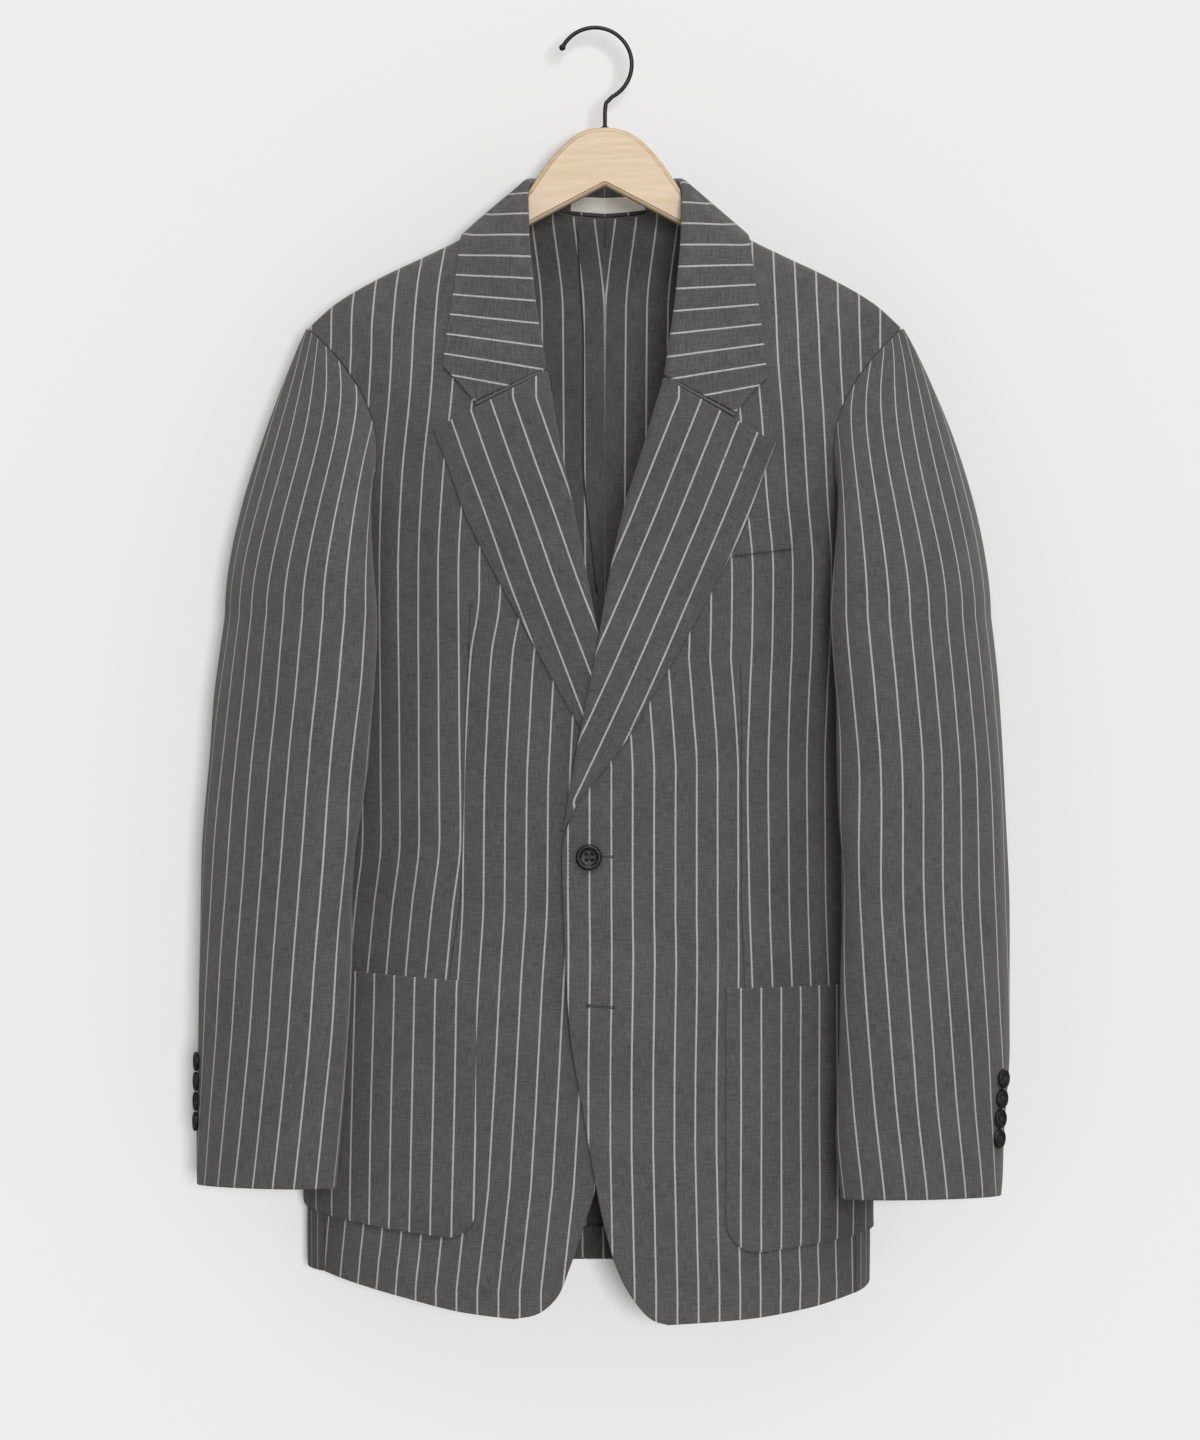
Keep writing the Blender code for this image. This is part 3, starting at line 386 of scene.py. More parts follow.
def arc_table(side, depth, top, height):
    """Cloth from the centre out to the side at each level, with the shoulder's rounding left in."""
    level = ARC_LEVELS[:, None] + 0 * ARC_TURNS[None, :]
    x = side * np.sin(ARC_TURNS)[None, :] ** (2 / SIDE_FULLNESS) * reach(side, level)
    weight = rounding(top(x), level, height)
    step = np.hypot(np.diff(x, axis=1), np.diff(depth(x, level), axis=1)
                    * 0.5 * (weight[:, 1:] + weight[:, :-1]))
    return summed(step)


ARCS = {(side, part): arc_table(side, depth, top, height) for side in (-1, 1)
        for part, depth, top, height in (("front", chest_y, shoulder_top, FRONT_ROUND),
                                         ("back", blade_y, neck_line, BACK_ROUND))}


def grid_value(table, across, down):
    """Bilinear reading of a table at float indices."""
    across = np.clip(across, 0, table.shape[1] - 1.001)
    down = np.clip(down, 0, table.shape[0] - 1.001)
    i, j = across.astype(int), down.astype(int)
    s, t = across - i, down - j
    return ((table[j, i] * (1 - s) + table[j, i + 1] * s) * (1 - t)
            + (table[j + 1, i] * (1 - s) + table[j + 1, i + 1] * s) * t)


def arc(part, x, z):
    """Signed cloth length from the centre to x at height z."""
    x, z = np.broadcast_arrays(np.asarray(x, float), np.asarray(z, float))
    turn = np.arcsin(share(x, z) ** (SIDE_FULLNESS / 2))
    across = turn / (ARC_TURNS[1] - ARC_TURNS[0])
    down = (z - ARC_LEVELS[0]) / (ARC_LEVELS[1] - ARC_LEVELS[0])
    right = grid_value(ARCS[1, part], across, down)
    left = grid_value(ARCS[-1, part], across, down)
    return np.where(x > 0, right, -left)


def front_stripes(side, x, z):
    """Number of the stripe at a point of a front, on the outer side of its dart."""
    return (arc("front", x, z) - arc("front", traced(STRIPE_OUTER[side], z), z)) / PITCH


def front_dart(side, x, z):
    """Stripes that the dart takes out, and how far a point lies outside the dart's line."""
    line = traced(DART[side], z)
    inner = ((arc("front", line, z) - arc("front", traced(STRIPE_INNER[side], z), z)) / PITCH
             + STRIPES_BETWEEN[side])
    opened = fade(-z, *(-garment_z(DART_OPENS)))
    taken = np.maximum(side * (front_stripes(side, line, z) - inner), 0) * opened
    return -side * taken, side * (x - line)


def back_stripes(side, x, z):
    return arc("back", x, z) / PITCH + side * smooth(z, *zip(*BACK_SEAM_TAKES))


# ------------------------------------------------------------------ panels
def roll_radius(side, z):
    down = np.clip((GORGE[side] - z) / (GORGE[side] - LAPEL[side][-1][0]), 0, 1)
    return ROLL_RADIUS * (1 - 0.42 * down)


def lapel_roll(side, z):
    return np.where(z > LAPEL[side][-1][0] - 4, roll_radius(side, z) + SEAM_GAP + 0.5, 0.0)


def front_boundary(side, low, high):
    x, z = map(np.asarray, zip(*FRONT_EDGE[side]))
    neck_x, neck_z = map(np.asarray, zip(*FRONT_NECK))
    x = np.concatenate((x + side * lapel_roll(side, z), side * neck_x))
    z = np.concatenate((z, neck_z))
    below = np.where(z < SEAM_TOP)[0]
    low_x = np.append(x[below], smooth(SEAM_TOP, z, x))
    low_z = np.append(z[below], SEAM_TOP)
    run = summed(np.hypot(np.diff(low_x), np.diff(low_z)))
    run = run / run[-1]
    height = SEAM_TOP + (NECK_TOP - SEAM_TOP) * np.sin(high * math.pi / 2)
    at = low**CORNER_CROWD
    upper = high > 0
    return (np.where(upper, smooth(height, z, x), smooth(at, run, low_x)),
            np.where(upper, height, smooth(at, run, low_z)))


def split_rows(v):
    return np.minimum(v / PANEL_SPLIT, 1.0), np.maximum((v - PANEL_SPLIT) / (1 - PANEL_SPLIT), 0.0)


def seam_hem(side):
    """Height of the hem where it meets the front's side seam."""
    return hem_z(side, SEAM_RATIO * reach(side, HEM_LEVEL))


def outer_edge(side, phi, upper, low_z):
    """x and z of a panel's side edge: on the armhole where upper, else on the side seam."""
    arm_x, _, arm_z = armhole(side, phi)
    return (np.where(upper, arm_x - side * SEAM_GAP,
                     side * (SEAM_RATIO * reach(side, low_z) - SEAM_GAP)),
            np.where(upper, arm_z, low_z))


def front_point(side, u, v):
    low, high = split_rows(v)
    upper = high > 0
    inner_x, inner_z = front_boundary(side, low, high)
    start_x, start_z = front_boundary(side, np.zeros(1), np.zeros(1))
    rise = (inner_z - start_z) / (SEAM_TOP - start_z)
    edge = seam_hem(side)
    outer_x, outer_z = outer_edge(side, SEAM_PHI * (1 - high), upper,
                                  edge + (SEAM_TOP - edge) * rise)
    across = 1 - (1 - u) ** SIDE_CROWD
    x = inner_x + (outer_x - inner_x) * across
    z = inner_z + (outer_z - inner_z) * across
    tip_x, _, tip_z = armhole(side, 0.0)
    seam_x = FRONT_NECK[-1][0] + (abs(tip_x) - FRONT_NECK[-1][0]) * across
    lift = (shoulder_top(seam_x) - NECK_TOP - (tip_z - NECK_TOP) * across) * high**SHOULDER_REACH
    line = start_z + (edge - start_z) * across
    hem_x = start_x + (side * SEAM_RATIO * reach(side, HEM_LEVEL) - start_x) * across
    drop = (hem_z(side, hem_x) - line) * np.clip(1 - rise, 0, 1) ** 3
    z = z + np.where(upper, lift, drop)
    return x, lapped_y(side, x, z) - 0.5 * SHOULDER_GAP, z


def back_point(side, u, v):
    low, high = split_rows(v)
    upper = high > 0
    inner_x = side * 0.5 * SEAM_GAP
    inner_z = np.where(upper, SEAM_TOP + (NECK_BACK - SEAM_TOP) * np.sin(high * math.pi / 2),
                       HEM_BACK + (SEAM_TOP - HEM_BACK) * low)
    hem = HEM_BACK_SIDE[side]
    outer_x, outer_z = outer_edge(side, -SEAM_PHI * (1 - high), upper, hem + (SEAM_TOP - hem) * low)
    across = 1 - (1 - u) ** SIDE_CROWD
    turn = np.minimum(u / NECK_SHARE, 1.0)
    beyond = np.maximum((u - NECK_SHARE) / (1 - NECK_SHARE), 0.0)
    at_neck = NECK_HALF * np.sin(turn * math.pi / 2) + (np.abs(outer_x) - NECK_HALF) * beyond
    x_level = inner_x + (outer_x - inner_x) * across
    x = x_level + (side * np.maximum(at_neck, abs(inner_x)) - x_level) * high**3
    z = inner_z + (outer_z - inner_z) * across
    tip_x, _, tip_z = armhole(side, 0.0)
    seam_x = NECK_HALF * np.sin(turn * math.pi / 2) + (abs(tip_x) - NECK_HALF) * beyond
    z = z + (neck_line(seam_x) - NECK_BACK - (tip_z - NECK_BACK) * across) * high**SHOULDER_REACH
    return x, back_y(x, z) + 0.5 * SHOULDER_GAP, z


def side_point(side, u, v):
    turn = 2 * u - 1
    phi = math.pi + (math.pi - SEAM_PHI) * turn
    front_hem = seam_hem(side)
    hem = front_hem + (HEM_BACK_SIDE[side] - front_hem) * u
    top = ARMHOLE_MID + ARMHOLE_HALF * np.cos(phi)
    z = hem + (top - hem) * v
    inset = 1.5 * SEAM_GAP / (1 - SEAM_RATIO) / reach(side, z)
    ratio = 1 - (1 - SEAM_RATIO) * turn**2 * (1 - inset)
    x = side * ratio * reach(side, z)
    depth = np.where(turn > 0, body("back", z), -body("front", z))
    y = body("set_back", z) * ratio**2 + depth * hollow(ratio)
    round_over = np.where(turn > 0, rounding(shoulder_top(x), z, BACK_ROUND),
                          rounding(shoulder_top(x), z, FRONT_ROUND))
    return x, y * round_over, z


# ------------------------------------------------------------------ sleeves
def sleeve_value(side, name, z):
    table = SLEEVE[side]
    return smooth(z, column(table, SLEEVE_COLUMNS, "height"), column(table, SLEEVE_COLUMNS, name))


def sleeve_width(side, z):
    """A sleeve's inner edge and half its width at height z."""
    inner = sleeve_value(side, "inner", z)
    return inner, 0.5 * (sleeve_value(side, "outer", z) - inner)


def sleeve_level(side, angle, z):
    inner, half = sleeve_width(side, z)
    turn = np.radians(sleeve_value(side, "turn", z))
    x = side * (inner + half + half * np.cos(angle))
    y = sleeve_value(side, "middle", z) - sleeve_value(side, "half_depth", z) * np.sin(angle - turn)
    return np.stack(np.broadcast_arrays(x, y, z), axis=-1)


def sleeve_angles(place):
    phi = np.asarray(place, float)
    for _ in range(24):
        twist = SLEEVE_TWIST * np.sin(0.5 * phi + SLEEVE_LEAN * np.sin(0.5 * phi) ** 2) ** 2
        phi = place - 0.5 * twist
    return phi, phi + twist


def below_cap(side, v):
    """Height at v down a sleeve, which stays at the cap's end above it."""
    down = np.clip((v - SLEEVE_CAP) / (1 - SLEEVE_CAP), 0, 1)
    return SLEEVE_CAP_END + (SLEEVE[side][-1][0] - SLEEVE_CAP_END) * down


def sleeve_point(side, place, v):
    phi, angle = sleeve_angles(place)
    level = sleeve_level(side, angle, below_cap(side, v))
    under = 0.5 * (1 - np.cos(phi))
    start = np.stack(armhole(side, phi), axis=-1)
    start[..., 0] += side * SLEEVE_SET_OUT
    start[..., 2] += SLEEVE_SET_UP * under**2
    end = sleeve_level(side, angle, np.full_like(angle, SLEEVE_CAP_END))
    span = np.linalg.norm(end - start, axis=-1)[..., None]
    forward = np.where(np.sin(phi) > 0, 0.40 + 0.6 * under, 0.2)
    leave = np.stack((side * (0.08 + HEAD_SPREAD[side] * np.maximum(np.cos(phi), 0)
                              + 0.6 * under**4 + 0.3 * np.maximum(-np.sin(phi), 0)),
                      -np.sin(phi) * forward, -0.72 + 0.5 * under), axis=-1)
    arrive = np.array((0.0, 0.0, -1.0))
    a, b, c, d = cubic(np.clip(v / SLEEVE_CAP, 0, 1)[..., None])
    blend = a * start + b * span * leave + c * end + d * span * 0.9 * arrive
    point = np.where((v >= SLEEVE_CAP)[..., None], level, blend)
    return point[..., 0], point[..., 1], point[..., 2]


SECTION_ANGLES = np.linspace(-0.5 * math.pi, 2.5 * math.pi, 361)


def section_arcs(side):
    """Cloth round the sleeve's sections, a row for each height."""
    heights = np.linspace(SLEEVE[side][-1][0], SLEEVE_CAP_END, 60)
    points = sleeve_level(side, SECTION_ANGLES[None, :], heights[:, None])
    step = np.linalg.norm(np.diff(points, axis=1), axis=-1)
    return heights, summed(step)


SECTION_ARCS = {side: section_arcs(side) for side in (-1, 1)}


def sleeve_arc(side, angle, z):
    heights, table = SECTION_ARCS[side]
    across = (angle - SECTION_ANGLES[0]) / (SECTION_ANGLES[1] - SECTION_ANGLES[0])
    down = (z - heights[0]) / (heights[1] - heights[0])
    return grid_value(table, across, down)


def sleeve_stripes(side, place, v):
    """Number of the stripe, counted outwards from the one that runs down the sleeve's front."""
    phi, angle = sleeve_angles(place)
    z = below_cap(side, v)
    inner, half = sleeve_width(side, z)
    at = np.clip((side * traced(STRIPE_SLEEVE[side], z) - inner - half) / half, -1, 1)
    low = (sleeve_arc(side, np.arccos(at), z) - sleeve_arc(side, angle, z)) / PITCH
    head = smooth(np.degrees(np.where(phi > math.pi, phi - 2 * math.pi, phi)), *zip(*SLEEVE_HEAD))
    keep = np.clip(1 - v / SLEEVE_CAP, 0, 1) ** 3
    return low + (head - low) * keep


# ------------------------------------------------------------------ collar and lapels
def keep_clear(x, y, z, lift):
    behind = y > 0
    height = np.where(behind, BACK_ROUND, FRONT_ROUND)
    top = np.where(behind, neck_line(x), shoulder_top(x))
    floor = top - height
    wide = np.abs(np.where(behind, blade_y(x, z), chest_y(x, z)))
    across, up = np.abs(y) / wide, np.maximum((z - floor) / height, 0.0)
    out = np.hypot(across, up)
    needed = 1 + lift * np.hypot(across / wide, up / height) / out
    short = out < needed
    y = np.where(short, y * needed / out, y)
    z = np.where(short & (z > floor), floor + (z - floor) * needed / out, z)
    return x, y, z


def collar_row(along):
    side = np.where(along >= 0, 1.0, -1.0)
    at = np.abs(along) * (len(COLLAR) - 1)
    value = {name: by_row(at, column(COLLAR, COLLAR_COLUMNS, name)) for name in COLLAR_COLUMNS}
    rise = np.where(side < 0, LEFT_RISE * fade(at, 5, 9), 0.0)
    points = [np.stack((side * value[part + "_x"], value[part + "_y"],
                        value[part + "_z"] + rise * k), axis=-1)
              for part, k in (("seam", 0.7), ("fold", 0.7), ("edge", 1.2))]
    return points + [value["notch"]]


def collar_point(across, along):
    seam, fold, edge, notch = collar_row(along)
    up = unit(fold - 0.5 * (seam + edge))
    out = edge - seam
    out = unit(out - up * np.sum(out * up, axis=-1)[..., None])
    centre = fold - FOLD_RADIUS * up
    a = across[..., None]
    rising = seam + (centre - FOLD_RADIUS * out - seam) * a / COLLAR_STAND
    angle = math.pi * np.clip((a - COLLAR_STAND) / (COLLAR_TURNED - COLLAR_STAND), 0, 1)
    turning = centre - FOLD_RADIUS * out * np.cos(angle) + FOLD_RADIUS * up * np.sin(angle)
    t = np.clip((a - COLLAR_TURNED) / (1 - COLLAR_TURNED), 0, 1)
    falling = centre + FOLD_RADIUS * out
    falling = falling + (edge - falling) * t
    s = t[..., 0]
    falling[..., 2] += notch * np.where(s < NOTCH_AT, s / NOTCH_AT, (1 - s) / (1 - NOTCH_AT))
    falling = np.stack(keep_clear(falling[..., 0], falling[..., 1], falling[..., 2], LAYER + 1.2),
                       axis=-1)
    point = np.where(a <= COLLAR_STAND, rising, np.where(a <= COLLAR_TURNED, turning, falling))
    return point[..., 0], point[..., 1], point[..., 2]


def collar_stripes(across, along, x, z):
    at = np.abs(along) * (len(COLLAR) - 1)
    fold, edge = by_row(at, COLLAR_FOLD_STRIPES), by_row(at, COLLAR_EDGE_STRIPES)
    lower = np.where(x > 0, COLLAR_RIGHT_LOWER, 0.0)
    behind = (fold + (edge - fold) * np.clip((across - COLLAR_TURNED) / (1 - COLLAR_TURNED), 0, 1)
              - lower / COLLAR_PITCHES[0] * fade(at, 0.5, 3.2))
    (left, high), (right, low) = COLLAR_LINE
    py = CROWN_PX - z / PX
    t = (np.abs(x) / PX - left) / (right - left)
    start = high + (low - high) * t + lower
    pitch = COLLAR_PITCHES[0] + (COLLAR_PITCHES[1] - COLLAR_PITCHES[0]) * t
    ahead = (py - start) / pitch
    return behind + (ahead - behind) * fade(at, 3.6, 5.2)


def lapel_row(side, along):
    at = along * (len(LAPEL[side]) - 1)
    return [by_row(at, column(LAPEL[side], LAPEL_COLUMNS, name)) for name in LAPEL_COLUMNS]


def lapel_point(side, across, along):
    roll_z, edge_x, edge_z = lapel_row(side, along)
    roll_x = smooth(roll_z, *list(zip(*FRONT_EDGE[side]))[::-1])
    span = np.hypot(edge_x - roll_x, edge_z - roll_z)
    out_x, out_z = (edge_x - roll_x) / span, (edge_z - roll_z) / span
    radius = roll_radius(side, roll_z)
    angle = math.pi * np.clip(across / LAPEL_TURNED, 0, 1)
    t = np.clip((across - LAPEL_TURNED) / (1 - LAPEL_TURNED), 0, 1)
    turned = across <= LAPEL_TURNED
    run = np.where(turned, radius - radius * np.sin(angle), radius + (span - radius) * t)
    puff = LAPEL_PUFF * np.sin(math.pi * t) * np.minimum(1, span / 60)
    lift = np.where(turned, radius - radius * np.cos(angle),
                    2 * radius + (LAYER - 2 * radius) * t + puff)
    x, z = roll_x + out_x * run, roll_z + out_z * run
    return x, lapped_y(side, x, z) - lift - 0.5 * SEAM_GAP, z


def lapel_stripes(side, across, along):
    """Stripes beside the traced one, carried round the roll by their distance from it."""
    x, _, z = lapel_point(side, np.maximum(across, LAPEL_TURNED), along)
    radius = roll_radius(side, lapel_row(side, along)[0])
    return (side * (traced(STRIPE_LAPEL[side], z) - x) / (LAPEL_STRIPES_APART * PX)
            + math.pi * radius * np.clip(1 - across / LAPEL_TURNED, 0, 1) / PITCH)


# ------------------------------------------------------------------ pieces laid on the body
def on_body(side, girth, z, lift):
    shape = girth.shape
    run, ring_x, ring_y, out_x, out_y = ring(side, z.ravel())
    x, y, nx, ny = (np.array([np.interp(g, r, a) for g, r, a in zip(girth.ravel(), run, values)])
                    .reshape(shape) for values in (ring_x, ring_y, out_x, out_y))
    shift = np.where(ny < 0, lapped_y(side, x, z) - front_y(x, z), 0.0)
    return x + lift * nx, y + lift * ny + shift, z


def girth_at(side, x, z):
    run, ring_x, *_ = ring(side, z.ravel())
    half = run.shape[1] // 2
    found = [np.interp(abs(x), np.abs(a[:half]), r[:half]) for a, r in zip(ring_x, run)]
    return np.array(found).reshape(z.shape)


def pocket_point(side, u, v):
    inner_x, top, top_rise, bottom, bottom_rise, width, corner = POCKET[side]
    above = (top - bottom) * v**POCKET_ROW_CROWD
    inset = corner - np.sqrt(np.maximum(corner**2 - np.maximum(corner - above, 0) ** 2, 0))
    z = bottom + above + (bottom_rise + (top_rise - bottom_rise) * v) * u
    start = girth_at(side, inner_x, z) + inset
    along = 1 - (1 - u) ** POCKET_COLUMN_CROWD
    return on_body(side, start + (width - 2 * inset) * along, z, LAYER + POCKET_SAG * u)


def breast_pocket_point(u, v):
    inner = WELT_INNER[0] + (WELT_INNER[1] - WELT_INNER[0]) * v
    outer = WELT_OUTER[0] + (WELT_OUTER[1] - WELT_OUTER[0]) * v
    z = WELT_BOTTOM + WELT_HEIGHT * v + WELT_RISE * u
    x = inner + (outer - inner) * u
    return x, front_y(x, z) - LAYER - 0.5 * SEAM_GAP, z


def hem_turn_point(u, v):
    across = 2 * u - 1
    x = HEM_TURN_HALF * across
    z = HEM_BACK + 1.0 + HEM_TURN_HEIGHT * v - HEM_TURN_DROP * np.maximum(across, 0) ** 2
    return x, back_y(x, z) + 0.5 * SHOULDER_GAP - LAYER, z


def label_point(u, v):
    across = LABEL_ROWS[0] + (LABEL_ROWS[1] - LABEL_ROWS[0]) * v
    x = LABEL_ENDS[0] + (LABEL_ENDS[1] - LABEL_ENDS[0]) * u
    row_width = COLLAR[1][0] * (len(COLLAR) - 1)
    px, py, pz = collar_point(across, x / row_width)
    return px, py - FACING - 0.5, pz


# ------------------------------------------------------------------ folds pressed into the cloth
# A fold is a path in pixels, its half width in pixels and its height in mm (a hollow if below 0).
FRONT_FOLDS = {
    1: (((812, 470), (822, 560), (826, 660), 12, 1.6),
        ((838, 500), (846, 620), (838, 760), 10, -1.4),
        ((792, 420), (800, 520), (796, 620), 16, -0.9),
        ((655, 780), (700, 760), (742, 700), 12, 0.8),
        ((600, 905), (660, 925), (722, 915), 14, -0.8),
        ((592, 960), (640, 955), (690, 968), 11, 0.7),
        ((772, 700), (790, 800), (782, 915), 18, 1.0),
        ((840, 820), (832, 910), (850, 990), 12, -1.3),
        ((650, 1030), (662, 1130), (645, 1250), 18, 0.9),
        ((700, 1060), (694, 1160), (700, 1290), 14, -0.8),
        ((770, 1262), (800, 1285), (850, 1292), 12, 0.8),
        ((612, 1120), (618, 1200), (640, 1270), 10, -0.7),
        ((745, 300), (790, 330), (850, 345), 16, 0.8),
        ((800, 280), (842, 316), (880, 330), 12, -0.7)),
    -1: (((398, 480), (388, 590), (391, 690), 12, 1.5),
         ((372, 520), (366, 640), (372, 760), 10, -1.5),
         ((418, 420), (408, 520), (414, 620), 16, -0.9),
         ((560, 800), (530, 770), (486, 716), 12, 0.8),
         ((560, 905), (520, 918), (470, 905), 14, -0.8),
         ((430, 730), (418, 820), (425, 930), 18, 1.1),
         ((368, 800), (374, 890), (360, 965), 12, -1.2),
         ((520, 1030), (505, 1130), (512, 1250), 18, 0.9),
         ((560, 1020), (556, 1110), (540, 1220), 12, -0.8),
         ((345, 1255), (400, 1275), (450, 1285), 12, 0.8),
         ((330, 300), (372, 330), (430, 345), 16, 0.8),
         ((318, 332), (352, 352), (400, 362), 12, -0.7)),
}
# On the sleeves the path is in degrees round the sleeve (0 its outer edge, 90 its front) and mm
# of height; its half width is in degrees.
SLEEVE_FOLDS = {
    1: (((150, -425), (110, -470), (60, -540), 9, 1.5),
        ((158, -470), (125, -520), (88, -575), 8, -1.4),
        ((150, -560), (118, -585), (70, -640), 8, 1.2),
        ((160, -600), (130, -630), (96, -668), 8, -1.3),
        ((20, -520), (36, -600), (30, -690), 10, 0.9),
        ((58, -600), (66, -700), (60, -800), 12, -0.8),
        ((150, -680), (120, -720), (80, -745), 8, 0.9),
        ((140, -770), (100, -790), (60, -796), 9, -0.7),
        ((210, -480), (240, -560), (236, -660), 11, 1.3),
        ((280, -520), (262, -610), (275, -720), 11, -1.2),
        ((325, -560), (312, -640), (322, -730), 10, 0.9),
        ((190, -640), (220, -700), (260, -740), 10, -1.0)),
    -1: (((152, -430), (115, -480), (70, -530), 9, 1.4),
         ((158, -485), (128, -530), (92, -590), 8, -1.5),
         ((150, -575), (112, -600), (66, -650), 8, 1.3),
         ((160, -620), (126, -655), (90, -690), 8, -1.2),
         ((18, -500), (30, -600), (26, -700), 10, 0.9),
         ((62, -640), (70, -720), (62, -810), 12, -0.8),
         ((148, -700), (112, -738), (76, -752), 8, 0.8),
         ((132, -780), (96, -800), (50, -806), 9, -0.7),
         ((205, -500), (232, -580), (226, -690), 11, 1.3),
         ((276, -540), (258, -630), (270, -730), 11, -1.2),
         ((322, -540), (310, -630), (318, -750), 10, 0.9),
         ((196, -660), (226, -715), (256, -750), 10, -1.0)),
}
# On the back, x and height in mm.
BACK_FOLDS = (
    ((-150, -330), (-120, -420), (-126, -520), 16, 1.4),
    ((-182, -420), (-168, -520), (-176, -640), 13, -1.4),
    ((148, -340), (124, -430), (132, -540), 16, 1.3),
    ((184, -430), (166, -540), (172, -650), 13, -1.5),
    ((-60, -200), (-84, -300), (-70, -400), 20, 0.8), ((58, -205), (80, -300), (74, -410), 20, 0.9),
    ((-20, -480), (-46, -540), (-110, -560), 13, 0.9),
    ((24, -500), (58, -552), (116, -566), 13, -0.9),
    ((-118, -640), (-104, -760), (-116, -900), 18, 1.1),
    ((100, -620), (118, -750), (104, -900), 18, 1.2),
    ((-44, -700), (-52, -800), (-42, -900), 15, -0.9),
    ((48, -690), (40, -800), (50, -902), 15, -0.8),
)
SIDE_FOLDS = (((-168, -440), (-176, -540), (-170, -660), 14, 1.2),
              ((-190, -600), (-182, -720), (-192, -860), 12, -1.2))


def pressed(a, b, folds):
    """Height of the cloth at (a, b) where folds run along three-point curves."""
    height = np.zeros(a.shape)
    for start, middle, end, width, rise in folds:
        t = np.linspace(0, 1, 24)
        line_a = (1 - t) ** 2 * start[0] + 2 * t * (1 - t) * middle[0] + t**2 * end[0]
        line_b = (1 - t) ** 2 * start[1] + 2 * t * (1 - t) * middle[1] + t**2 * end[1]
        away, along = np.full(a.shape, 1e9), np.zeros(a.shape)
        for la, lb, at in zip(line_a, line_b, t):
            far = np.hypot(a - la, b - lb)
            along = np.where(far < away, at, along)
            away = np.minimum(away, far)
        taper = np.sin(math.pi * (0.08 + 0.84 * along))
        height += rise * taper * np.exp(-(away / width) ** 2)
    return height


def drape(x, z):
    """The slight unevenness that every hanging panel has."""
    return (0.35 * np.sin(x / 23 + 1.7 * np.sin(z / 190)) * np.sin(z / 160 + x / 90 + 0.6)
            + 0.18 * np.sin(x / 9.5 + z / 71) * np.sin(z / 47 - x / 33)
            + 0.12 * np.sin(z / 17 + 2.1 * np.sin(x / 31)))


# ------------------------------------------------------------------ making cloth
# Flat size of each piece's cut in metres, width, length and area, and what it hangs on.
CUTS = {
    "front_left": (0.25, 0.83, 0.152, ["hanger_wood"]),
    "front_right": (0.27, 0.83, 0.155, ["hanger_wood"]),
    "back_left": (0.23, 0.80, 0.153, ["hanger_wood"]),
    "back_right": (0.23, 0.80, 0.145, ["hanger_wood"]),
    "side_panel_left": (0.06, 0.54, 0.026, ["front_left", "back_left"]),
    "side_panel_right": (0.06, 0.55, 0.026, ["front_right", "back_right"]),
    "back_hem_turn": (0.30, 0.028, 0.0075, ["back_left", "back_right"]),
    "sleeve_top_left": (0.21, 0.67, 0.108, ["front_left", "back_left"]),
    "sleeve_under_left": (0.14, 0.64, 0.068, ["front_left", "back_left"]),
    "sleeve_top_right": (0.22, 0.67, 0.114, ["front_right", "back_right"]),
    "sleeve_under_right": (0.14, 0.64, 0.073, ["front_right", "back_right"]),
    "collar": (0.52, 0.09, 0.038, ["back_left", "back_right"]),
    "lapel_left": (0.10, 0.33, 0.018, ["front_left"]),
    "lapel_right": (0.11, 0.34, 0.021, ["front_right"]),
    "patch_pocket_left": (0.16, 0.20, 0.030, ["front_left"]),
    "patch_pocket_right": (0.15, 0.20, 0.0295, ["front_right"]),
    "breast_pocket": (0.048, 0.026, 0.0012, ["front_right"]),
    "neck_label": (0.056, 0.012, 0.00065, ["collar"]),
}
# Distances from a rim in mm where its grid lines lie, and how it is rounded there.
RIM = (0.0, 0.35, 0.9, 1.8)
RIM_ROUND, RIM_LEAST, RIM_FLAT = 1.0, 0.42, 14


def stations(points, axis, step):
    """Parameter values about step mm apart along that axis of a coarse grid, closer at its rims."""
    size = np.linalg.norm(np.diff(points, axis=axis), axis=-1)
    run = summed(np.percentile(size, 75, axis=1 - axis))
    length = run[-1]
    count = max(4, int(round((length - 2 * RIM[-1]) / step)))
    inner = np.linspace(RIM[-1], length - RIM[-1], count + 1)
    where = np.concatenate((RIM[:-1], inner, length - np.array(RIM[:-1])[::-1]))
    return np.interp(where, run, np.linspace(0, 1, len(run))), where, length


def grid_of(point, step):
    """A fine grid over a surface: u, v, points and distance from the nearest rim."""
    cu, cv = np.meshgrid(np.linspace(0, 1, 61), np.linspace(0, 1, 121))
    coarse = np.stack(point(cu, cv), axis=-1)
    us, run_u, length_u = stations(coarse, 1, step)
    vs, run_v, length_v = stations(coarse, 0, step)
    u, v = np.meshgrid(us, vs)
    near_u = np.minimum(run_u, length_u - run_u)
    near_v = np.minimum(run_v, length_v - run_v)
    rim = np.minimum(near_u[None, :], near_v[:, None])
    return u, v, np.stack(point(u, v), axis=-1), rim


def normals(points, toward, at):
    """Normals of a grid, on the side that faces toward at that share of the grid."""
    du = np.gradient(points, axis=1)
    dv = np.gradient(points, axis=0)
    out = np.cross(du, dv)
    out /= np.maximum(np.linalg.norm(out, axis=-1), 1e-9)[..., None]
    rows, columns = out.shape[:2]
    probe = out[int(at[1] * (rows - 1)), int(at[0] * (columns - 1))]
    return out if probe @ np.array(toward, float) > 0 else -out


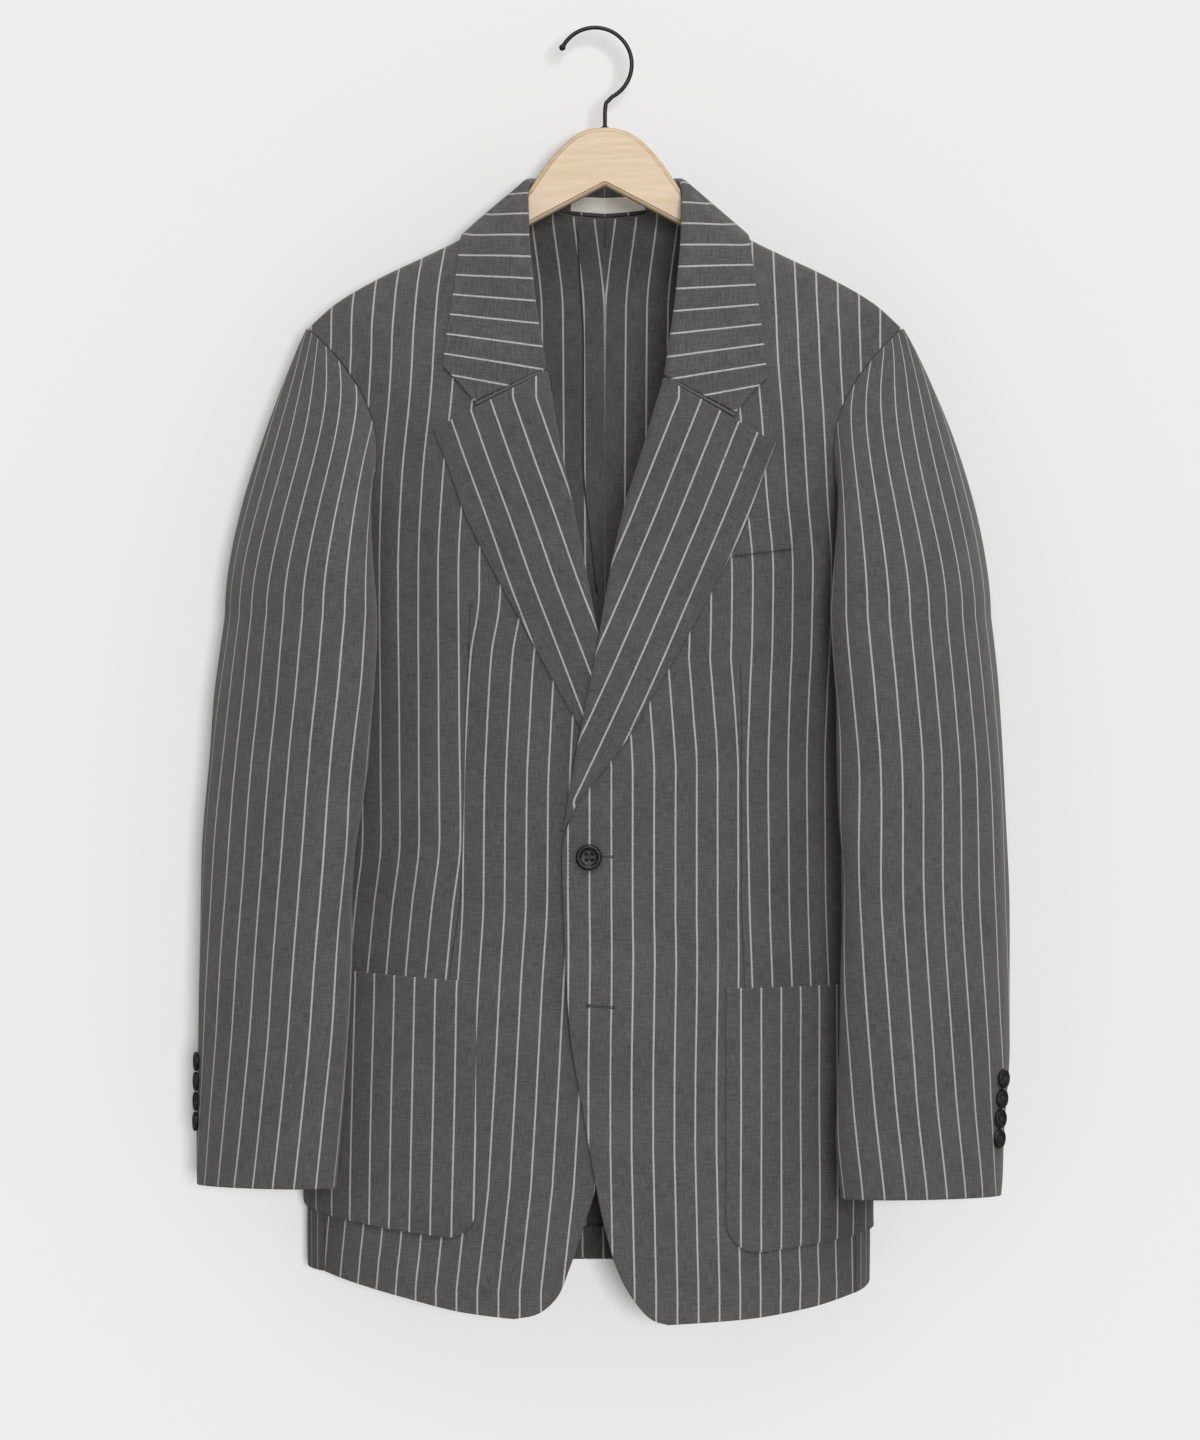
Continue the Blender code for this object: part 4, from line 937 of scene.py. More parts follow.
def mesh_object(name, verts, faces, surface, uvs=None, dart=None):
    mesh = bpy.data.meshes.new(name)
    mesh.from_pydata((np.asarray(verts) * MM).tolist(), [], faces)
    mesh.materials.append(surface)
    index = np.empty(len(mesh.loops), dtype=np.int32)
    mesh.loops.foreach_get("vertex_index", index)
    for layer, values in (("UVMap", uvs), ("dart", dart)):
        if values is not None:
            mesh.uv_layers.new(name=layer).data.foreach_set("uv", values[index].ravel())
    mesh.shade_smooth()
    mesh.update()
    made = bpy.data.objects.new(name, mesh)
    bpy.context.scene.collection.objects.link(made)
    return made


def world_points(points):
    return points + np.array((HANG_X, 0.0, 0.0))


def settle(made, node=None):
    """Fix a piece to the body, and hide the CAD node that it stands for, if one is given."""
    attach(made, "root")
    if node:
        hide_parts(node)


def ring_faces(rows, around, base=0, closed=False, inward=False):
    """Quads between rows of points, around to a row, from vertex number base."""
    r, i = np.meshgrid(np.arange(rows if closed else rows - 1), np.arange(around), indexing="ij")
    j, s = (i + 1) % around, (r + 1) % rows
    first, last = r * around + i, s * around + j
    second, third = r * around + j, s * around + i
    corners = (first, third, last, second) if inward else (first, second, last, third)
    return (base + np.stack(corners, axis=-1).reshape(-1, 4)).tolist()


def cloth(name, point, step, wall, stripes, toward, at=(0.5, 0.5), relief=None, surface=None,
          along=None, dart=None):
    """A closed wall of cloth with rounded rims on point(u, v), moved out by relief(u, v, x, z)."""
    u, v, middle, rim = grid_of(point, step)
    out = normals(middle, toward, at)
    x, z = middle[..., 0], middle[..., 2]
    shift = np.zeros(u.shape) if relief is None else relief(u, v, x, z) * fade(rim, 0, RIM_FLAT)
    part = np.clip(rim / RIM_ROUND, 0, 1)
    half = 0.5 * wall * np.maximum(np.sqrt(1 - (1 - part) ** 2), RIM_LEAST)
    top = middle + out * (shift + half)[..., None]
    under = middle + out * (shift - half)[..., None]
    rows, columns = u.shape
    count = rows * columns
    number = np.arange(count).reshape(rows, columns)
    quads = np.stack((number[:-1, :-1], number[:-1, 1:], number[1:, 1:], number[1:, :-1]),
                     axis=-1).reshape(-1, 4)
    loop = np.concatenate((number[0, :-1], number[:-1, -1], number[-1, :0:-1], number[:0:-1, 0]))
    after = np.roll(loop, -1)
    du = middle[rows // 2, columns // 2 + 1] - middle[rows // 2, columns // 2]
    dv = middle[rows // 2 + 1, columns // 2] - middle[rows // 2, columns // 2]
    right_handed = np.cross(du, dv) @ out[rows // 2, columns // 2] > 0
    if not right_handed:
        quads = quads[:, ::-1]
        loop, after = after, loop
    sides = np.stack((loop, loop + count, after + count, after), axis=-1)
    faces = np.concatenate((quads, quads[:, ::-1] + count, sides)).tolist()
    stripe = stripes(u, v, x, z)
    if along is None:
        length = -summed(np.linalg.norm(np.diff(middle, axis=0), axis=-1).T).T / PITCH
        tall = length - length[-1:]
    else:
        tall = along(u, v, x, z)
    uv = np.stack((stripe, tall), axis=-1).reshape(-1, 2)
    verts = world_points(np.concatenate((top.reshape(-1, 3), under.reshape(-1, 3))))
    darts = None if dart is None else np.tile(np.stack(dart(x, z), axis=-1).reshape(-1, 2), (2, 1))
    made = mesh_object(name, verts, faces, surface or CLOTH_LOOK, np.concatenate((uv, uv)), darts)
    settle(made, name)
    width, length, area, held_by = CUTS[name]


# ------------------------------------------------------------------ materials
class Nodes:
    """Short ways of adding nodes to a tree."""

    def __init__(self, tree):
        self.tree = tree

    def add(self, kind, inputs=(), **settings):
        node = self.tree.nodes.new(kind)
        for key, value in settings.items():
            setattr(node, key, value)
        for key, value in dict(inputs).items():
            self.feed(node.inputs[key], value)
        return node

    def feed(self, socket, value):
        if isinstance(value, bpy.types.NodeSocket):
            self.tree.links.new(value, socket)
        else:
            socket.default_value = value

    def math(self, operation, a, b=0.0, c=0.0, clamp=False):
        node = self.add("ShaderNodeMath", {0: a, 1: b, 2: c}, operation=operation, use_clamp=clamp)
        return node.outputs[0]

    def spread(self, value, low, high, to_low=0.0, to_high=1.0):
        node = self.add("ShaderNodeMapRange", {0: value, 1: low, 2: high, 3: to_low, 4: to_high},
                        interpolation_type="SMOOTHSTEP")
        return node.outputs[0]

    def noise(self, where, scale, detail=2.0, roughness=0.5):
        node = self.add("ShaderNodeTexNoise", {"Vector": where, "Scale": scale, "Detail": detail,
                                               "Roughness": roughness})
        return node.outputs[0]

    def stretched(self, where, factors, turn=(0.0, 0.0, 0.0)):
        node = self.add("ShaderNodeMapping", {"Vector": where, "Rotation": turn, "Scale": factors})
        return node.outputs[0]

    def mix(self, share, a, b):
        node = self.add("ShaderNodeMix", data_type="RGBA")
        self.feed(node.inputs[0], share)
        self.feed(node.inputs[6], a)
        self.feed(node.inputs[7], b)
        return node.outputs[2]

    def bump(self, height, strength, distance):
        node = self.add("ShaderNodeBump", {"Height": height, "Strength": strength,
                                           "Distance": distance})
        return node.outputs[0]


def new_material(name, roughness, coordinates="Object", **constant):
    """A material, its nodes, its texture coordinates and its shader's sockets."""
    made = bpy.data.materials.new(name)
    made.use_nodes = True
    sockets = made.node_tree.nodes["Principled BSDF"].inputs
    sockets["Roughness"].default_value = roughness
    for socket, value in constant.items():
        sockets[socket.replace("_", " ")].default_value = value
    n = Nodes(made.node_tree)
    return made, n, n.add("ShaderNodeTexCoord").outputs[coordinates], sockets


def dress(n, sockets, colour, height, strength, distance, roughness=None):
    """Feed a shader its colour, its bump and, where it varies, its roughness."""
    n.feed(sockets["Base Color"], colour)
    n.feed(sockets["Normal"], n.bump(height, strength, distance))
    if roughness is not None:
        n.feed(sockets["Roughness"], roughness)


CLOTH_DARK, CLOTH_LIGHT = (0.040, 0.0395, 0.0388, 1), (0.120, 0.117, 0.113, 1)
STRIPE_COLOUR = (0.50, 0.49, 0.47, 1)
STRIPE_HALF, STRIPE_SOFT = 0.60, 0.3
# Painted shade for the groove of each dart's seam.
DART_SEAM_SHADE = (0.02, 0.02, 0.02, 1)
WARP_PITCH, WEFT_PITCH = 0.62, 0.58


def pinstripe(name):
    """Grey heathered plain weave with chalk stripes where the UV's first number is whole, and
    painted shade along the darts' seams.
    """
    made, n, uv, sockets = new_material(name, 0.88, "UV", Sheen_Weight=0.18, Sheen_Roughness=0.5,
                                        Specular_IOR_Level=0.18)
    mm = n.stretched(uv, (PITCH, PITCH, PITCH))
    warp = n.noise(n.stretched(mm, (1.5, 0.10, 1.0)), 1.0, 3.0, 0.6)
    weft = n.noise(n.stretched(mm, (0.09, 1.4, 1.0)), 1.0, 3.0, 0.6)
    fleck = n.noise(mm, 1.25, 2.0, 0.7)
    cloud = n.noise(mm, 0.028, 2.0, 0.5)
    split = n.add("ShaderNodeSeparateXYZ", {0: mm})
    across, down = split.outputs[0], split.outputs[1]
    thread_a = n.math("SINE", n.math("MULTIPLY", across, 2 * math.pi / WARP_PITCH))
    thread_b = n.math("SINE", n.math("MULTIPLY", down, 2 * math.pi / WEFT_PITCH))
    woven = n.math("MULTIPLY", thread_a, thread_b)
    tone = n.math("MULTIPLY_ADD", warp, 0.8, n.math("MULTIPLY", weft, 0.8))
    tone = n.math("ADD", tone, n.math("MULTIPLY", fleck, 0.9))
    tone = n.math("MULTIPLY_ADD", cloud, 0.22, tone)
    tone = n.math("MULTIPLY_ADD", woven, 0.06, tone)
    share = n.math("MULTIPLY_ADD", tone, 1.9, -2.05, clamp=True)
    ground = n.mix(share, CLOTH_DARK, CLOTH_LIGHT)
    sway = n.math("MULTIPLY_ADD", n.noise(n.stretched(mm, (0.3, 0.55, 1.0)), 1.0, 2.0), 0.5, -0.25)
    dart = n.add("ShaderNodeSeparateXYZ", {0: n.add("ShaderNodeUVMap", uv_map="dart").outputs[0]})
    inside = n.math("LESS_THAN", dart.outputs[1], 0.0)
    taken = n.math("MULTIPLY", n.math("MULTIPLY", dart.outputs[0], inside), PITCH)
    # Along each dart's seam: a groove in the bump, and painted shade darkening the colour.
    sewn = n.math("MULTIPLY", n.spread(n.math("ABSOLUTE", dart.outputs[1]), 0.55, 0.15),
                  n.math("GREATER_THAN", n.math("ABSOLUTE", dart.outputs[0]), 0.04))
    shifted = n.math("ADD", n.math("ADD", across, taken), sway)
    in_pitch = n.math("ABSOLUTE", n.math("WRAP", shifted, 0.5 * PITCH, -0.5 * PITCH))
    line = n.spread(in_pitch, STRIPE_HALF + STRIPE_SOFT, STRIPE_HALF - STRIPE_SOFT)
    patchy = n.noise(n.stretched(mm, (1.2, 0.9, 1.0)), 1.0, 2.0, 0.6)
    chalk = n.math("MULTIPLY", line, n.spread(patchy, 0.25, 0.62, 0.62, 1.0))
    striped = n.mix(n.math("MULTIPLY", chalk, 0.9), ground, STRIPE_COLOUR)
    height = n.math("MULTIPLY_ADD", woven, 0.35, n.math("MULTIPLY", fleck, 0.8))
    height = n.math("MULTIPLY_ADD", warp, 0.5, height)
    height = n.math("MULTIPLY_ADD", line, 0.35, height)
    height = n.math("MULTIPLY_ADD", sewn, -2.0, height)
    # Painted shade of the dart's seam groove, mixed into the cloth's colour.
    colour = n.mix(n.math("MULTIPLY", sewn, 0.72), striped, DART_SEAM_SHADE)
    dress(n, sockets, colour, height, 0.5, 0.0004)
    return made


def thread_material(name, colour):
    made, n, where, sockets = new_material(name, 0.75, Sheen_Weight=0.2)
    twist = n.noise(n.stretched(where, (2600, 2600, 2600), (0.4, 0.7, 0.2)), 1.0, 2.0)
    dark, light = (tuple(by * c for c in colour) + (1,) for by in (0.65, 1.3))
    dress(n, sockets, n.mix(twist, dark, light), twist, 0.4, 0.0002)
    return made


def horn_material():
    made, n, where, sockets = new_material("polished_dark_horn", 0.4, Coat_Weight=0.08,
                                           Coat_Roughness=0.25, Specular_IOR_Level=0.22)
    streak = n.noise(n.stretched(where, (90, 60, 420), (0.0, 0.5, 0.3)), 1.0, 4.0, 0.65)
    cloud = n.noise(where, 130.0, 3.0, 0.6)
    shade = n.math("MULTIPLY_ADD", streak, 0.7, n.math("MULTIPLY", cloud, 0.3))
    shade = n.spread(shade, 0.44, 0.66)
    wear = n.noise(where, 1500.0, 2.0)
    dress(n, sockets, n.mix(shade, (0.004, 0.004, 0.004, 1), (0.03, 0.026, 0.023, 1)),
          wear, 0.06, 0.0001, n.spread(wear, 0.2, 0.8, 0.34, 0.5))
    return made


def wood_material():
    made, n, where, sockets = new_material("pale_maple", 0.42, Coat_Weight=0.12, Coat_Roughness=0.3)
    bend = n.math("MULTIPLY", n.noise(n.stretched(where, (6, 6, 11)), 1.0, 2.0), 0.02)
    bend = n.add("ShaderNodeCombineXYZ", {2: bend}).outputs[0]
    warped = n.add("ShaderNodeVectorMath", {0: where, 1: bend}, operation="ADD").outputs[0]
    rings = n.noise(n.stretched(warped, (9, 60, 210), (0.0, 0.03, 0.0)), 1.0, 4.0, 0.55)
    pores = n.noise(n.stretched(warped, (70, 900, 2400), (0.0, 0.03, 0.0)), 1.0, 2.0, 0.6)
    shade = n.math("MULTIPLY_ADD", rings, 0.75, n.math("MULTIPLY", pores, 0.25))
    colour = n.mix(n.spread(shade, 0.32, 0.66), (0.61, 0.47, 0.31, 1), (0.53, 0.39, 0.235, 1))
    dress(n, sockets, colour, shade, 0.12, 0.0003, n.spread(pores, 0.2, 0.8, 0.36, 0.5))
    return made


def steel_material():
    made, n, where, sockets = new_material("blackened_steel", 0.32, Metallic=0.6)
    coat = n.noise(where, 900.0, 3.0, 0.6)
    dress(n, sockets, n.mix(coat, (0.008, 0.008, 0.009, 1), (0.022, 0.021, 0.02, 1)),
          coat, 0.08, 0.0002, n.spread(coat, 0.2, 0.8, 0.26, 0.42))
    return made


def tape_material():
    made, n, uv, sockets = new_material("woven_label_tape", 0.7, "UV", Sheen_Weight=0.25)
    mm = n.stretched(uv, (PITCH, PITCH, PITCH))
    split = n.add("ShaderNodeSeparateXYZ", {0: mm})
    rib = n.math("SINE", n.math("MULTIPLY", split.outputs[1], 2 * math.pi / 0.5))
    fleck = n.noise(mm, 1.6, 2.0)
    tone = n.math("MULTIPLY_ADD", rib, 0.2, fleck, clamp=True)
    dress(n, sockets, n.mix(tone, (0.56, 0.53, 0.47, 1), (0.78, 0.75, 0.69, 1)),
          n.math("ADD", rib, fleck), 0.3, 0.0002)
    return made


CLOTH_LOOK = pinstripe("pinstripe_wool_linen")
# Dark thread for buttons and buttonholes, and also painted shade in the buttonhole slits and along
# the edge inside the back.
DARK_THREAD_AND_SHADE = thread_material("dark_thread_and_shade", (0.022, 0.022, 0.024))
THREAD = thread_material("grey_thread", (0.085, 0.084, 0.082))
HORN, WOOD, STEEL, TAPE = horn_material(), wood_material(), steel_material(), tape_material()


# ------------------------------------------------------------------ the jacket's panels
DART_DEEP, DART_WIDE, DART_TOP, DART_FOOT = 0.6, 5.0, (392, 430), (868, 890)


def level_v(u, v, x, z):
    return -z / PITCH


def front_relief(side):
    def relief(u, v, x, z):
        px, py = pixels(x, z)
        line = traced(DART[side], z)
        open_here = fade(-z, *DART_TOP) * (1 - fade(-z, *DART_FOOT))
        drawn_in = -DART_DEEP * np.exp(-((x - line) / DART_WIDE) ** 2) * open_here
        return pressed(px, py, FRONT_FOLDS[side]) + drape(x, z) + drawn_in
    return relief


def back_relief(u, v, x, z):
    return pressed(x, z, BACK_FOLDS) + drape(x + 37, z)


def side_relief(side):
    return lambda u, v, x, z: pressed(-np.abs(x), z + 11 * side, SIDE_FOLDS) + drape(x, z + 50)


def build_body():
    for side, word in SIDES:
        cloth(f"front_{word}", partial(front_point, side), 3.0, CLOTH,
              lambda u, v, x, z: front_stripes(side, x, z), TO_FRONT, relief=front_relief(side),
              along=level_v, dart=lambda x, z: front_dart(side, x, z))
        cloth(f"back_{word}", partial(back_point, side), 4.0, CLOTH,
              lambda u, v, x, z: back_stripes(side, x, z), TO_BACK, relief=back_relief,
              along=level_v)
        cloth(f"side_panel_{word}", partial(side_point, side), 4.0, CLOTH,
              lambda u, v, x, z: 0.3 + 7.2 * u, (side, 0, 0), relief=side_relief(side),
              along=level_v)
    cloth("back_hem_turn", hem_turn_point, 3.0, FACING,
          lambda u, v, x, z: back_stripes(1, x, z), TO_FRONT, along=level_v)


# ------------------------------------------------------------------ sleeves
TOP_PLACES = (HINDARM_SEAM - 2 * math.pi + math.radians(0.5), FOREARM_SEAM - math.radians(0.5))
UNDER_PLACES = (FOREARM_SEAM + math.radians(0.5), HINDARM_SEAM - math.radians(0.5))


DEGREES_A_MM = 0.35       # of a sleeve, for folds


def sleeve_relief(side, start, end):
    def relief(u, v, x, z):
        place = start + (end - start) * u
        degrees = np.degrees(place)
        folds = pressed(degrees, z * DEGREES_A_MM, [
            (*((turn, height * DEGREES_A_MM) for turn, height in corners), width, rise)
            for *corners, width, rise in SLEEVE_FOLDS[side]])
        ease = 0.25 * np.sin(degrees / 3.1) * np.exp(-v * 14)
        return folds + drape(150 * place, z + 30 * side) + ease
    return relief


def build_sleeves():
    for side, word in SIDES:
        def top_stripes(place, v, z):
            return sleeve_stripes(side, place, v)

        def under_stripes(place, v, z):
            return 0.4 + sleeve_arc(side, sleeve_angles(place)[1], z) / PITCH

        for part, (start, end), step, toward, stripes in (
                ("top", TOP_PLACES, 3.2, (side, -1.2, 0), top_stripes),
                ("under", UNDER_PLACES, 4.0, (-side, 1.2, 0), under_stripes)):
            cloth(f"sleeve_{part}_{word}",
                  lambda u, v: sleeve_point(side, start + (end - start) * u, v), step, CLOTH,
                  lambda u, v, x, z: stripes(start + (end - start) * u, v, z), toward,
                  at=(0.5, 0.75), relief=sleeve_relief(side, start, end))


# ------------------------------------------------------------------ collar, lapels, pockets
def build_collar():
    cloth("collar", lambda u, v: collar_point(u, 2 * v - 1), 2.4, FACING,
          lambda u, v, x, z: collar_stripes(u, 2 * v - 1, x, z), TO_BACK, at=(0.85, 0.5),
          along=lambda u, v, x, z: u * 5.2,
          relief=lambda u, v, x, z: 0.3 * np.sin(z / 19 + x / 23) * fade(u, 0.55, 0.7))
    for side, word in SIDES:
        cloth(f"lapel_{word}", partial(lapel_point, side), 2.4, FACING,
              lambda u, v, x, z: lapel_stripes(side, u, v), TO_FRONT, at=(0.8, 0.4),
              relief=lambda u, v, x, z: 0.35 * np.sin(z / 37 + x / 29 + side) * fade(u, 0.42, 0.6))


# Heights of a stripe that leans on the left pocket, and its places there; how much wider apart
# that pocket's stripes lie than the front's.
LEFT_POCKET_LEANS, LEFT_POCKET_STRIPE, LEFT_POCKET_WIDER = (-900, -698), (368.0, 374.0), 1.035
RIGHT_POCKET_STRIPE = 781.0


def pocket_stripes(side, x, z):
    if side > 0:
        return (arc("front", x, z) - arc("front", garment_x(RIGHT_POCKET_STRIPE), z)) / PITCH
    lean = smooth(z, LEFT_POCKET_LEANS, garment_x(LEFT_POCKET_STRIPE))
    return (arc("front", x, z) - arc("front", lean, z)) / (PITCH * LEFT_POCKET_WIDER)


def pocket_relief(side):
    def relief(u, v, x, z):
        px, py = pixels(x, z)
        middle = np.exp(-((u - 0.5) / 0.3) ** 2) * np.exp(-((v - 0.45) / 0.4) ** 2)
        return 0.9 * middle + 0.5 * np.sin(px / 21 + 0.9 * side) * np.sin(py / 37) * fade(v, 0, 0.3)
    return relief


def build_pockets():
    for side, word in SIDES:
        cloth(f"patch_pocket_{word}", partial(pocket_point, side), 3.0, FACING,
              lambda u, v, x, z: pocket_stripes(side, x, z), TO_FRONT, relief=pocket_relief(side),
              along=level_v)
    cloth("breast_pocket", breast_pocket_point, 2.0, FACING,
          lambda u, v, x, z: front_stripes(1, x, z), TO_FRONT, along=level_v)
    cloth("neck_label", label_point, 2.0, LABEL_WALL, lambda u, v, x, z: u * 3.6, TO_FRONT,
          surface=TAPE, along=lambda u, v, x, z: v)


build_body()
build_sleeves()
build_collar()
build_pockets()


# ------------------------------------------------------------------ hanger
WOOD_DEPTH, WOOD_REACH, WOOD_UNDER, WOOD_TIP_DROP = 11.0, 190.0, 0.5 * CLOTH + 1.6, 4.0
WOOD_TOP = ((0, -72), (10, -73), (20, -76.8), (30, -84.5), (40, -95.5), (50, -109.5),
            (57, -119.5), (64, -126.5))
WOOD_BOTTOM = ((0, -115), (57, -145), (103, -171), (164, -203), (190, -216))
WOOD_ROUND, WOOD_ROUND_STEPS, WOOD_TIP = 3.2, 7, 3


def inset_outline(outline, distance):
    """A closed outline moved inwards by distance."""
    before, after = np.roll(outline, 1, axis=0), np.roll(outline, -1, axis=0)
    tangent = unit(after - before)
    inward = np.stack((-tangent[:, 1], tangent[:, 0]), axis=1)
    area = np.sum(outline[:, 0] * after[:, 1] - after[:, 0] * outline[:, 1])
    return outline + (inward if area > 0 else -inward) * distance


def build_board():
    half = np.concatenate((np.linspace(0, 70, 71), np.linspace(73, WOOD_REACH - WOOD_TIP, 50)))
    top = np.where(half < WOOD_TOP[-1][0], smooth(half, *zip(*WOOD_TOP)),
                   shoulder_top(half) - WOOD_UNDER - WOOD_TIP_DROP * fade(half, 140, 190))
    bottom = smooth(half, *zip(*WOOD_BOTTOM))
    turn = np.linspace(-math.pi / 2, math.pi / 2, 9)[1:-1]
    tip_mid, tip_half = 0.5 * (top[-1] + bottom[-1]), 0.5 * (top[-1] - bottom[-1])
    tip = np.stack((half[-1] + WOOD_TIP * np.cos(turn), tip_mid + tip_half * np.sin(turn)), axis=1)
    right = np.concatenate((np.stack((half, bottom), axis=1), tip,
                            np.stack((half, top), axis=1)[::-1]))
    outline = np.concatenate((right, right[::-1][1:-1] * (-1, 1)))
    count = len(outline)
    rings = []
    for angle in np.linspace(0, math.pi / 2, WOOD_ROUND_STEPS):
        flat = inset_outline(outline, WOOD_ROUND * (1 - math.cos(angle)))
        depth = 0.5 * WOOD_DEPTH - WOOD_ROUND + WOOD_ROUND * math.sin(angle)
        rings.append(np.stack((flat[:, 0], np.full(count, depth), flat[:, 1]), axis=1))
    rows = rings[::-1] + [ring_at * (1, -1, 1) for ring_at in rings]
    faces = ring_faces(len(rows), count, inward=True)
    # Each flat face is filled with strips between its lower and its upper edge.
    last, steps_out = (len(rows) - 1) * count, len(half)
    bottoms = np.arange(steps_out)
    tops = len(right) - 1 - bottoms
    far_bottoms = np.where(bottoms > 0, count - bottoms, 0)
    far_tops = np.where(bottoms > 0, len(right) - 1 + bottoms, len(right) - 1)
    near_end = list(range(steps_out - 1, len(right) - steps_out + 1))
    flat = []
    for low, high, flip in ((bottoms, tops, True), (far_bottoms, far_tops, False)):
        for i in range(steps_out - 1):
            quad = [int(at) for at in (low[i], low[i + 1], high[i + 1], high[i])]
            flat.append((quad, flip))
    flat += [(near_end, True), ([count - i for i in near_end], False)]
    for face, flip in flat:
        faces.append(face[::-1] if flip else face)
        faces.append([last + i for i in (face if flip else face[::-1])])
    board = mesh_object("hanger_wood", world_points(np.concatenate(rows)), faces, WOOD)
    for face in board.data.polygons[-2 * len(flat):]:
        face.use_smooth = False
    settle(board, "hanger_wood")


def tube(name, path, radii, sides, surface, shift=(HANG_X, 0.0, 0.0), close=False,
         node=None):
    """A round tube along points in mm, in the garment's frame unless shifted otherwise."""
    path = np.asarray(path, float)
    radii = np.broadcast_to(np.asarray(radii, float), len(path))
    if close:
        tangent = unit(np.roll(path, -1, axis=0) - np.roll(path, 1, axis=0))
    else:
        tangent = unit(np.gradient(path, axis=0))
    aside = np.cross(tangent[0], (0.0, 1.0, 0.0))
    if np.linalg.norm(aside) < 0.2:
        aside = np.cross(tangent[0], (1.0, 0.0, 0.0))
    rings, frame_x = [], unit(aside)
    turn = np.linspace(0, 2 * math.pi, sides, endpoint=False)[:, None]
    for point, along_here, radius in zip(path, tangent, radii):
        frame_x = unit(frame_x - along_here * (frame_x @ along_here))
        frame_y = np.cross(along_here, frame_x)
        rings.append(point + radius * (np.cos(turn) * frame_x + np.sin(turn) * frame_y))
    faces = ring_faces(len(path), sides, closed=close)
    if not close:
        faces.append(list(range(sides))[::-1])
        faces.append([(len(path) - 1) * sides + i for i in range(sides)])
    made = mesh_object(name, np.concatenate(rings) + np.array(shift), faces, surface)
    settle(made, node)


# Height and radius of the ring where the hook's stem enters the wood.
FERRULE = ((-73.4, 3.4), (-72.6, 3.4), (-71.9, 3.1), (-71.4, 2.6), (-71.0, 1.7))


def build_hook():
    centre_x, centre_z = HOOK_CENTRE
    arc_path = [(centre_x + HOOK_RADIUS * math.cos(a), 0.0, centre_z + HOOK_RADIUS * math.sin(a))
                for a in np.radians(np.linspace(*HOOK_TURN, 90))]
    stem_x, stem_z = zip(*HOOK_STEM)
    stem = [(float(smooth(z, stem_z, stem_x)), 0.0, z)
            for z in np.linspace(stem_z[0], stem_z[-1], 24)]
    path = np.array(arc_path + stem)
    run = path_lengths(path)
    ball = np.exp(-((run - 2.2) / 1.7) ** 2) - 0.9 * np.exp(-(run / 0.9) ** 2)
    tube("hanger_hook", path, 0.5 * HOOK_WIRE + ball, 20, STEEL, (0, 0, 0),
         node="hanger_hook")
    ferrule, radii = zip(*FERRULE)
    tube("hook_ferrule", [(0.0, 0.0, z) for z in ferrule], radii, 24, STEEL)


build_board()
build_hook()


# ------------------------------------------------------------------ seam allowances and stitching
# The dark line inside the back, in pixels: a seam allowance's edge, its shade painted as a dark
# cord.
BACK_EDGE_SHADE = ((577, 216), (579, 260), (583, 337), (583, 459), (590, 530), (597, 590))


def build_seams():
    """The rolled allowances that lie inside the seams."""
    for side, word in SIDES:
        seam = np.stack(armhole(side, np.linspace(0, 2 * math.pi, 121)[:-1]), axis=-1)
        seam[:, 0] += side * 0.5 * SLEEVE_SET_OUT
        seam += 1.9 * unit(seam.mean(axis=0) - seam)
        tube(f"armhole_allowance_{word}", seam, 1.5, 8, THREAD, close=True)
        x = np.linspace(NECK_HALF + 1, 215, 60) * side
        tube(f"shoulder_allowance_{word}", np.stack((x, 0 * x, shoulder_top(x) - 2.1), axis=1),
             1.4, 8, THREAD)
        along = np.linspace(COLLAR_TURNED, COLLAR_TURNED + NOTCH_AT * (1 - COLLAR_TURNED), 60)
        x, y, z = collar_point(along, np.full(60, float(side)))
        top = np.stack(lapel_point(side, np.linspace(LAPEL_TURNED, 1, 200), np.zeros(200)))
        top = top[:, np.argsort(top[0])]
        met_y, met_z = (np.interp(x, top[0], row) for row in top[1:])
        gorge = np.stack((x, np.maximum(y, met_y) + 0.5, 0.5 * (z + met_z)), axis=1)
        tube(f"gorge_allowance_{word}", gorge[1:-1], 1.2, 8, THREAD)
    px, py = np.array(BACK_EDGE_SHADE).T
    z = np.linspace(*map(float, garment_z(np.array((222, 590)))), 60)
    x = smooth(z, garment_z(py), garment_x(px))
    depth = back_y(x, z) - 0.5 * CLOTH - 0.5 + back_relief(x, z, x, z)
    # The cord's dark colour is painted shade along the seam allowance's edge.
    tube("centre_back_edge_shade", np.stack((x, depth, z), axis=1), 0.75, 8, DARK_THREAD_AND_SHADE)
    turn = np.linspace(-math.pi / 2, math.pi / 2, 70)
    x = NECK_HALF * np.sin(turn)
    neck = np.stack((x, NECK_DEPTH * np.cos(turn) + 0.6, neck_line(x) + 0.6), axis=1)
    tube("neck_allowance", neck, 1.1, 8, THREAD)


def nearest_y(point, x, z):
    """Depth of a surface where it is met at (x, z), seen from the front."""
    u, v = np.meshgrid(np.linspace(0, 1, 90), np.linspace(0, 1, 240))
    px, py, pz = point(u, v)
    far = (px - x) ** 2 + (pz - z) ** 2 + np.where(py > py.mean() + 30, 1e6, 0)
    return float(py.ravel()[np.argmin(far)])


LIP, SLIT_SHADE, BAR_HALF = 0.42, 0.32, 1.5


